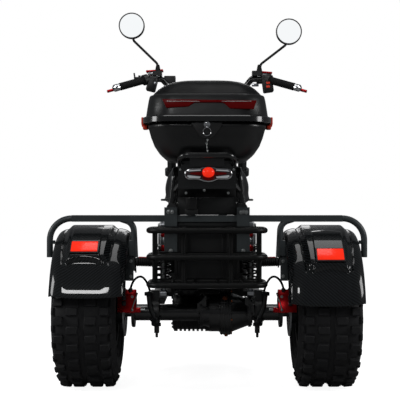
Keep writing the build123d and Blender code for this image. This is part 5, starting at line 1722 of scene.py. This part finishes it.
# ---- Tail lamp ----
@dataclass
class TailLamp:
    """A plated winged lamp with a red dome and red wing strips, on the rack's plate."""

    y: float = REAR_Y - 0.2313
    z: float = 0.66
    x: float = 0.004
    depth: float = 0.022
    dome_radius: float = 0.018
    # across and up, the right half from the top middle to the bottom middle
    outline: tuple = (
        (0.0, 0.02), (0.016, 0.019), (0.024, 0.0165), (0.055, 0.015), (0.064, 0.0115), (0.069, 0.0035),
        (0.069, -0.0065), (0.064, -0.0145), (0.056, -0.0175), (0.028, -0.0175), (0.014, -0.0235),
        (0.0, -0.025),
    )
    # across and up, on the right wing
    red_strip: tuple = ((0.014, 0.0055), (0.05, 0.0025), (0.054, 0.0), (0.05, -0.002), (0.014, -0.0065))
    upper_bar: tuple = ((0.022, 0.0115), (0.056, 0.01), (0.061, 0.0055), (0.022, 0.0082))
    lower_bar: tuple = (
        (0.022, -0.0088), (0.06, -0.0048), (0.061, -0.0085), (0.055, -0.013), (0.024, -0.013),
    )
    # the right half of the dark collar under the dome
    skirt: tuple = ((0.019, -0.008), (0.013, -0.018), (0.004, -0.02))
    plate_bolts: tuple = ((-0.061, 0.604), (-0.008, 0.612), (0.062, 0.604))
    side_bolts: tuple = ((-0.078, 0.672), (0.078, 0.672))

    def winged(self, form: Form, share: float, rim: float, back: float, front: float, bevel: float) -> None:
        """Adds one layer of the lamp, with its face to the rear.

        Args:
            form: Where the layer goes.
            share: The outline's scale along the wings.
            rim: How far the layer stays inside the outline up and down.
            back: Where it starts along Y.
            front: Where it ends along Y.
            bevel: The rounding of its rim.
        """
        half = [(x * share, up - math.copysign(rim, up)) for x, up in self.outline]
        form.prism(both_halves(half), moved(self.x, back, self.z) @ REARWARDS, back - front, bevel, 3)

    def strips(self, front: float) -> None:
        """Adds the tapered red strip and the plated bars above and below it on both wings."""
        red, plated = Form(), Form()
        frame = moved(self.x, front, self.z) @ REARWARDS
        for side in SIDES:
            for form, spots in ((red, self.red_strip), (plated, self.upper_bar), (plated, self.lower_bar)):
                form.prism([(side * x, up) for x, up in spots], frame, 0.0022, 0.0006, 1)
        red.place("tail_lamp_strips", Paint.DARK_RED_LENS)
        # The bars' finish glows: a painted sheen.
        plated.place("tail_lamp_bars", Paint.REFLECTOR)

    def build(self) -> None:
        """Makes the housing, the window, the dome with its collar and the bolts around."""
        front = self.y - self.depth
        housing = Form()
        self.winged(housing, 1.0, 0.0, self.y, front, 0.0035)
        housing.place("tail_lamp_housing", Paint.CHROME, Body.CHASSIS, ["tail_lamp"])
        window = Form()
        self.winged(window, 0.955, 0.0032, front + 0.002, front - 0.001, 0.0008)
        window.place("tail_lamp_window", Paint.SMOKED)
        self.strips(front - 0.0008)
        dome = Form()
        dome.ball((self.x, front - 0.001, self.z + 0.003), self.dome_radius, (1.0, 0.75, 0.86))
        dome.place("tail_lamp_dome", Paint.RED_LENS)
        skirt = Form()
        collar = moved(self.x, front - 0.0006, self.z) @ REARWARDS
        skirt.prism(both_halves(self.skirt), collar, 0.005, 0.0015)
        skirt.place("tail_lamp_skirt", Paint.DARK_RED_LENS)
        bolts = Form()
        for x, z in self.plate_bolts:
            bolts.bolt((x, REAR_Y - 0.2322, z), (0, -1, 0), 0.0025)
        for x, z in self.side_bolts:
            bolts.bolt((x, REAR_Y - 0.2312, z), (0, -1, 0), 0.0022)
        bolts.place("rack_plate_bolts", Paint.ZINC)


# ---- Rear brakes ----
@dataclass
class RearBrakes:
    """Red calipers with their windows, pistons, levers and inner cables, and the drilled discs."""

    low_angle: float = 6.0
    arc: float = 48.0
    steps: int = 10
    # inner and outer face across, inner and outer radius of both jaws and the bridge
    jaws: tuple = (
        (0.218, 0.2515, 0.0456, 0.094),
        (0.2645, 0.274, 0.053, 0.094),
        (0.218, 0.274, 0.0805, 0.096),
    )
    union: Pair = (0.236, REAR_Y - 0.06)
    # x, y and the radii of the rim and the bore of each disc
    disc_places: tuple = (
        ("rear_left", Body.REAR_LEFT, -0.258, REAR_Y, 0.075, 0.0146),
        ("rear_right", Body.REAR_RIGHT, 0.258, REAR_Y, 0.075, 0.0146),
        ("front", Body.FRONT_WHEEL, -0.114, FRONT_Y, 0.08, 0.0202),
    )
    disc_half: float = 0.002
    disc_rim: float = 0.013
    disc_eye: float = 0.012
    arms: int = 6
    arm_lean: float = 14.0
    hole_radius: float = 0.0022
    windows: Pair = (0.262, 0.279)
    window: tuple = ((0.2475, REAR_Y - 0.1), (0.259, REAR_Y - 0.086))
    window_height: float = 0.013
    adjuster: tuple = ((0.203, REAR_Y - 0.08, 0.247), (0.246, REAR_Y - 0.08, 0.244))
    stem: tuple = ((0.19, REAR_Y - 0.08, 0.248), (0.208, REAR_Y - 0.08, 0.247))
    cable: tuple = (
        (0.213, REAR_Y - 0.088, 0.3), (0.217, REAR_Y - 0.096, 0.285), (0.226, REAR_Y - 0.1, 0.262),
        (0.228, REAR_Y - 0.1, 0.25),
    )
    cable_end: tuple = (0.228, REAR_Y - 0.1, 0.249)

    def caliper(self, form: Form, side: int) -> None:
        """Adds a caliper's two jaws and the bridge over the disc."""
        frame = across(0.0, REAR_Y, AXLE_Z, self.low_angle)
        for inner, outer, low, high in self.jaws:
            section = [(side * inner, low), (side * inner, high), (side * outer, high), (side * outer, low)]
            verts = form.ring(section, frame)
            face = form.mesh.faces.new(verts)
            geom = verts + list(face.edges) + [face]
            form.spin(geom, (0.0, REAR_Y, AXLE_Z), (-1, 0, 0), math.radians(self.arc), self.steps)

    def discs(self) -> None:
        """Replaces each plain disc with a drilled one on leaning arms."""
        for name, body, x, y, radius, bore in self.disc_places:
            form = Form()
            frame = moved(x, y, AXLE_Z)
            inside, hole_circle = radius - self.disc_rim, radius - self.disc_rim / 2
            form.lathe(hoop(self.disc_half, inside, radius), frame, 96)
            form.lathe(hoop(self.disc_half, bore, bore + self.disc_eye), frame, 48)
            for arm in range(self.arms):
                lean = frame @ turned(360 * arm / self.arms, "X") @ turned(self.arm_lean, "X")
                low, high = (-0.0019, -0.0055, bore + 0.01), (0.0019, 0.0055, inside + 0.002)
                form.block(low, high, 0.0, 1, lean)
                for share in (0.25, 0.75):
                    spot = frame @ turned(360 * (arm + share) / self.arms, "X")
                    ends = [spot @ Vector((end, 0.0, hole_circle)) for end in (-0.0024, 0.0024)]
                    form.rod(*ends, self.hole_radius, sides=12)
            form.place(f"{name}_brake_disc", Paint.GROUND_STEEL, body, [f"{name}_disc"])

    def trim(self) -> None:
        """Adds windows, piston caps, adjusters, cables and hose unions to the calipers."""
        windows, metal, red = Form(), Form(), Form()
        for side in SIDES:
            for z in self.windows:
                low, high = self.window
                windows.block(*sided(side, (*low, z), (*high, z + self.window_height)), 0.001)
            windows.post(side * 0.236, REAR_Y - 0.062, 0.298, 0.312, 0.0062, 20, 0.0008)
            metal.bolt((side * 0.228, REAR_Y - 0.0945, 0.289), (0, -1, 0), 0.0028)
            red.rod(*sided(side, *self.adjuster), 0.008, bevel=0.001)
            metal.rod(*sided(side, *self.stem), 0.0035, sides=16)
            metal.pipe(sided(side, *self.cable), 0.0022)
            metal.ball(*sided(side, self.cable_end), 0.0048)
        windows.place("caliper_windows", Paint.MOULDED)
        metal.place("caliper_hardware", Paint.ZINC)
        red.place("caliper_adjusters", Paint.RED_ANODISED)

    def build(self) -> None:
        """Makes the calipers and the discs."""
        form = Form()
        x, y = self.union
        for side in SIDES:
            self.caliper(form, side)
            form.post(side * x, y, 0.29, 0.3105, 0.0052, 20, 0.0008)
        form.recalc()
        form.soften(form.mesh.verts[:], 0.0015, sharp=1.0)
        form.place("rear_caliper_bodies", Paint.RED_ANODISED, Body.CHASSIS, ["rear_calipers"])
        self.trim()
        self.discs()


# ---- Axle and motor ----
@dataclass
class AxleTrim:
    """Ribs, webs, bolts and plugs on the differential, the motor's end cap and the links' bushes."""

    diff_x: float = 0.058
    rib_offsets: tuple = (-0.012, -0.004, 0.004, 0.012)
    # place across and radius
    collars: tuple = ((-0.018, 0.046), (0.134, 0.046), (-0.23, 0.047), (0.23, 0.047))
    web_angles: tuple = (25, 75, 125, 205, 335)
    # away from the differential's middle, and radius
    web: tuple = ((0.017, 0.058), (0.078, 0.04), (0.076, 0.03), (0.017, 0.045))
    web_half: float = 0.0035
    cover_bolts: tuple = (-14, 38, 90, 276, 302)
    cover_circle: float = 0.0655
    # both rings of flange bolts: place across, and the side that their heads look to
    flange_rings: tuple = ((-0.022, -1), (0.138, 1))
    flange_circle: float = 0.038
    motor_y: float = REAR_Y + 0.14
    motor_z: float = AXLE_Z - 0.016
    # across and radius
    end_cap: tuple = (
        (-0.107, 0.0), (-0.1135, 0.004), (-0.1135, 0.04), (-0.111, 0.056), (-0.106, 0.06), (-0.1, 0.0),
    )
    terminal_bolts: tuple = (-0.082, -0.06, -0.038)
    link_y: float = REAR_Y - 0.044
    # across, height and radius of each bush on the left and the right link
    bushes: tuple = ((0.181, 0.293, 0.0062), (0.163, 0.213, 0.0058), (0.156, 0.198, 0.0058))
    bush_half: float = 0.013

    def ribs(self) -> None:
        """Adds the flange's cast ribs, the tube collars and the webs between them."""
        form = Form()
        axle = moved(0.0, REAR_Y, AXLE_Z)
        for offset in self.rib_offsets:
            form.lathe(hoop(0.0014, 0.066, 0.0712, self.diff_x + offset), axle, 72)
        for x, radius in self.collars:
            form.lathe(hoop(0.004, 0.024, radius, x), axle, 48)
        for side in SIDES:
            web = [(self.diff_x + side * away, up) for away, up in self.web]
            for degrees in self.web_angles:
                turn = across(0.0, REAR_Y, AXLE_Z, degrees) @ moved(0, self.web_half, 0) @ REARWARDS
                form.prism(web, turn, 2 * self.web_half, 0.001)
        form.place("differential_ribs", Paint.BARREL)

    def bolts(self) -> None:
        """Adds the copper-flashed bolts of the differential and the rings on its tube flanges."""
        copper, dark = Form(), Form()
        for degrees in self.cover_bolts:
            spot = around(self.diff_x + 0.017, degrees, self.cover_circle)
            copper.bolt(spot, (1, 0, 0), 0.0034, socket=False)
        filler = (self.diff_x - 0.002, REAR_Y - 0.052, AXLE_Z + 0.05)
        drain = (self.diff_x + 0.002, REAR_Y - 0.006, AXLE_Z - 0.069)
        for spot, out in ((filler, (0, -0.8, 0.6)), (drain, (0, 0, -1))):
            copper.bolt(spot, out, 0.0055, socket=False)
        for degrees in range(0, 360, 45):
            for x, side in self.flange_rings:
                dark.bolt(around(x, degrees, self.flange_circle), (side, 0, 0), 0.0038)
        copper.place("differential_bolts", Paint.COPPER)
        dark.place("axle_flange_bolts", Paint.BLACK_STEEL)

    def motor(self) -> None:
        """Adds the end cap and the terminal box of the motor."""
        form = Form()
        y, z = self.motor_y, self.motor_z
        form.lathe(self.end_cap, moved(0.0, y, z), 56)
        form.block((-0.09, y - 0.024, z + 0.058), (-0.03, y + 0.024, z + 0.078), 0.003, 3)
        form.place("motor_end_cap", Paint.BARREL)
        bolts = Form()
        for degrees in range(20, 380, 60):
            turn = across(-0.1128, y, z, degrees)
            bolts.bolt(turn @ Vector((0.0, 0.0, 0.05)), (-1, 0, 0), 0.0034)
        for x in self.terminal_bolts:
            bolts.bolt((x, y - 0.0242, z + 0.068), (0, -1, 0), 0.0032)
        bolts.place("motor_bolts", Paint.BLACK_STEEL)

    def links(self) -> None:
        """Adds the bolts and bushes on the curved links behind the swing arms."""
        form = Form()
        for side in SIDES:
            for x, z, size in self.bushes:
                inner, outer = side * (x - self.bush_half), side * (x + self.bush_half)
                form.pin(inner, outer, self.link_y, z, size, 16, 0.0008)
                form.bolt((side * x, self.link_y - 0.0075, z), (0, -1, 0), 0.0042, socket=False)
            form.post(side * self.bushes[-1][0], self.link_y, 0.158, 0.176, 0.0042, 14, 0.0006)
        form.place("link_bushes", Paint.BLACK_STEEL)

    def build(self) -> None:
        """Makes all the axle's trim."""
        self.ribs()
        self.bolts()
        self.motor()
        self.links()


# ---- Body panels behind the basket ----
@dataclass
class RearPanels:
    """Folded edges and studs on the battery case, plate bolts, and the small electrical pieces."""

    face_y: float = REAR_Y - 0.088
    plates_y: float = REAR_Y - 0.1141
    fold_half: float = 0.0035
    folds: tuple = (-0.094, -0.086, 0.048, 0.064, 0.094)
    fold_ends: Pair = (0.33, 0.512)
    # foot and top of the two folds across
    cross_folds: tuple = ((0.326, 0.333), (0.508, 0.515))
    studs: tuple = ((-0.083, 0.331), (-0.028, 0.331), (0.03, 0.331), (0.082, 0.331))
    plate_bolts: tuple = (
        (-0.1165, 0.549), (-0.106, 0.548), (0.1035, 0.547), (0.111, 0.548), (0.119, 0.547), (-0.11, 0.43),
        (0.11, 0.43),
    )
    relay: tuple = ((-0.064, REAR_Y - 0.128, 0.5555), (-0.031, REAR_Y - 0.098, 0.59))
    relay_foot: tuple = ((-0.067, REAR_Y - 0.124, 0.5395), (-0.028, REAR_Y - 0.098, 0.557))
    upper_band: tuple = ((-0.09, REAR_Y - 0.0985, 0.5385), (0.09, REAR_Y - 0.0905, 0.592))
    lower_band: tuple = ((-0.096, REAR_Y - 0.102, 0.5), (0.096, REAR_Y - 0.0905, 0.5175))

    def build(self) -> None:
        """Makes the panels' trim."""
        folds = Form()
        low, high = self.fold_ends
        inside = self.face_y + 0.001
        for x in self.folds:
            corners = ((x - self.fold_half, self.face_y - 0.0035, low), (x + self.fold_half, inside, high))
            folds.block(*corners, 0.0012)
        for low, high in self.cross_folds:
            folds.block((-0.098, self.face_y - 0.003, low), (0.098, inside, high), 0.0012)
        folds.place("battery_case_folds", Paint.MOULDED)
        studs = Form()
        for y, spots in ((self.face_y - 0.002, self.studs), (self.plates_y, self.plate_bolts)):
            for x, z in spots:
                studs.bolt((x, y, z), (0, -1, 0), 0.0042, socket=False)
        studs.place("panel_bolts", Paint.ZINC)
        relay = Form()
        relay.block(*self.relay, 0.002)
        relay.block(*self.relay_foot, 0.001)
        relay.place("flasher_relay", Paint.MOULDED)
        bands = Form()
        for corners in (self.upper_band, self.lower_band):
            bands.block(*corners, 0.0012)
        bands.place("upper_panel_bands", Paint.POWDER_COAT)


# ---- Camera, light and floor ----
@dataclass
class Studio:
    """A level camera behind the machine, soft light and a pale floor."""

    distance: float = 3.0
    height: float = 0.575
    lens_mm: float = 85.68
    shift: Pair = (-0.0175, 0.0075)
    floor_size: float = 14.0
    ambient: float = 0.12
    ambient_colour: tuple = (0.93, 0.96, 1.0, 1.0)
    floor_glow: float = 0.92
    # name, place, aim, size, watts
    lights: tuple = (
        ("overhead", (0.0, -0.6, 3.0), (0.0, -0.3, 0.5), 1.6, 18.0),
        ("left_strip", (-2.6, -1.6, 1.5), (0.0, -0.5, 0.5), 0.9, 22.0),
        ("right_strip", (2.6, -1.6, 1.5), (0.0, -0.5, 0.5), 0.9, 22.0),
        ("behind_camera", (-0.9, -3.9, 2.5), (0.0, -0.7, 0.5), 0.5, 13.0),
        ("front", (0.0, 3.4, 2.2), (0.0, 0.0, 0.7), 1.6, 14.0),
    )

    def camera(self) -> None:
        """Makes the camera."""
        camera = add_object("camera", bpy.data.cameras.new("camera"))
        camera.location = (0.0, REAR_Y - self.distance, self.height)
        camera.rotation_euler = (math.pi / 2, 0.0, 0.0)
        camera.data.lens = self.lens_mm
        camera.data.sensor_width = 36.0
        camera.data.shift_x, camera.data.shift_y = self.shift
        camera.data.clip_end = 60.0
        bpy.context.scene.camera = camera

    def split(self, tree: NodeTree, hidden: Node, seen: Node, end: str) -> None:
        """Shows one shader to the camera and another one to all other rays."""
        path = add_node(tree, "ShaderNodeLightPath").outputs["Is Camera Ray"]
        mix = add_node(tree, "ShaderNodeMixShader", {0: path, 1: hidden.outputs[0], 2: seen.outputs[0]})
        feed(tree.nodes[end], {"Surface": mix.outputs[0]})

    def world(self) -> None:
        """Makes a world that looks white and lights softly."""
        world = bpy.data.worlds.new("pale_studio")
        world.use_nodes = True
        tree = world.node_tree
        seen = tree.nodes["Background"]
        seen.inputs["Color"].default_value = WHITE
        inputs = {"Color": self.ambient_colour, "Strength": self.ambient}
        glow = add_node(tree, "ShaderNodeBackground", inputs)
        self.split(tree, glow, seen, "World Output")
        bpy.context.scene.world = world

    def lamps(self) -> None:
        """Hangs the square lamps."""
        for name, place, target, size, watts in self.lights:
            light = bpy.data.lights.new(name, "AREA")
            light.shape = "SQUARE"
            light.size = size
            light.energy = watts
            lamp = add_object(name, light)
            lamp.location = place
            lamp.rotation_euler = (Vector(target) - Vector(place)).to_track_quat("-Z", "Y").to_euler()

    def floor(self) -> None:
        """Lays the floor, which glows where the camera sees it."""
        mesh = bpy.data.meshes.new("floor")
        shape = bmesh.new()
        bmesh.ops.create_grid(shape, x_segments=1, y_segments=1, size=self.floor_size)
        shape.to_mesh(mesh)
        shape.free()
        floor = add_object("floor", mesh)
        floor.location = (0.0, 0.0, -0.0005)
        material = bpy.data.materials.new("pale_floor")
        material.use_nodes = True
        tree = material.node_tree
        tree.nodes.remove(tree.nodes["Principled BSDF"])
        paint = add_node(tree, "ShaderNodeBsdfDiffuse", {"Color": linear("d9d9d9")})
        lit = add_node(tree, "ShaderNodeEmission", {"Color": WHITE, "Strength": self.floor_glow})
        bright = add_node(tree, "ShaderNodeAddShader", {0: paint.outputs[0], 1: lit.outputs[0]})
        dim = add_node(tree, "ShaderNodeBsdfDiffuse", {"Color": linear("9a9a9a")})
        self.split(tree, dim, bright, "Material Output")
        mesh.materials.append(material)

    def build(self) -> None:
        """Makes the camera, the world, the lights and the floor."""
        bpy.context.scene.view_settings.view_transform = "Standard"
        self.camera()
        self.world()
        self.lamps()
        self.floor()


def main() -> None:
    """Loads the solids, dresses them and builds each sub-assembly."""
    logging.basicConfig(level=logging.INFO, format="%(name)s: %(message)s")
    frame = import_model()
    Studio().build()
    dress_solids(frame["nodes"])
    BrakeHoses().build()
    for tyre in TYRES:
        tyre.build()
    Shocks().build()
    for side, rear_angle, reflector_angle in ((-1, 15.0, 49.5), (1, 10.0, 43.1)):
        RearFender(side, rear_angle, reflector_angle).build()
        FenderReflector(side, reflector_angle).build()
    FrontFender().build()
    TopBox().build()
    TailLamp().build()
    RearBrakes().build()
    AxleTrim().build()
    RearPanels().build()
    for trim in (BarEnds(), BarControls(), MirrorTrim(), PegTrim(), Saddle()):
        trim.build()
    for trim in (WheelTrim(), ForkTrim(), HeadlampTrim(), DeckMat(), CaseTrim()):
        trim.build()


if __name__ == "__main__":
    main()
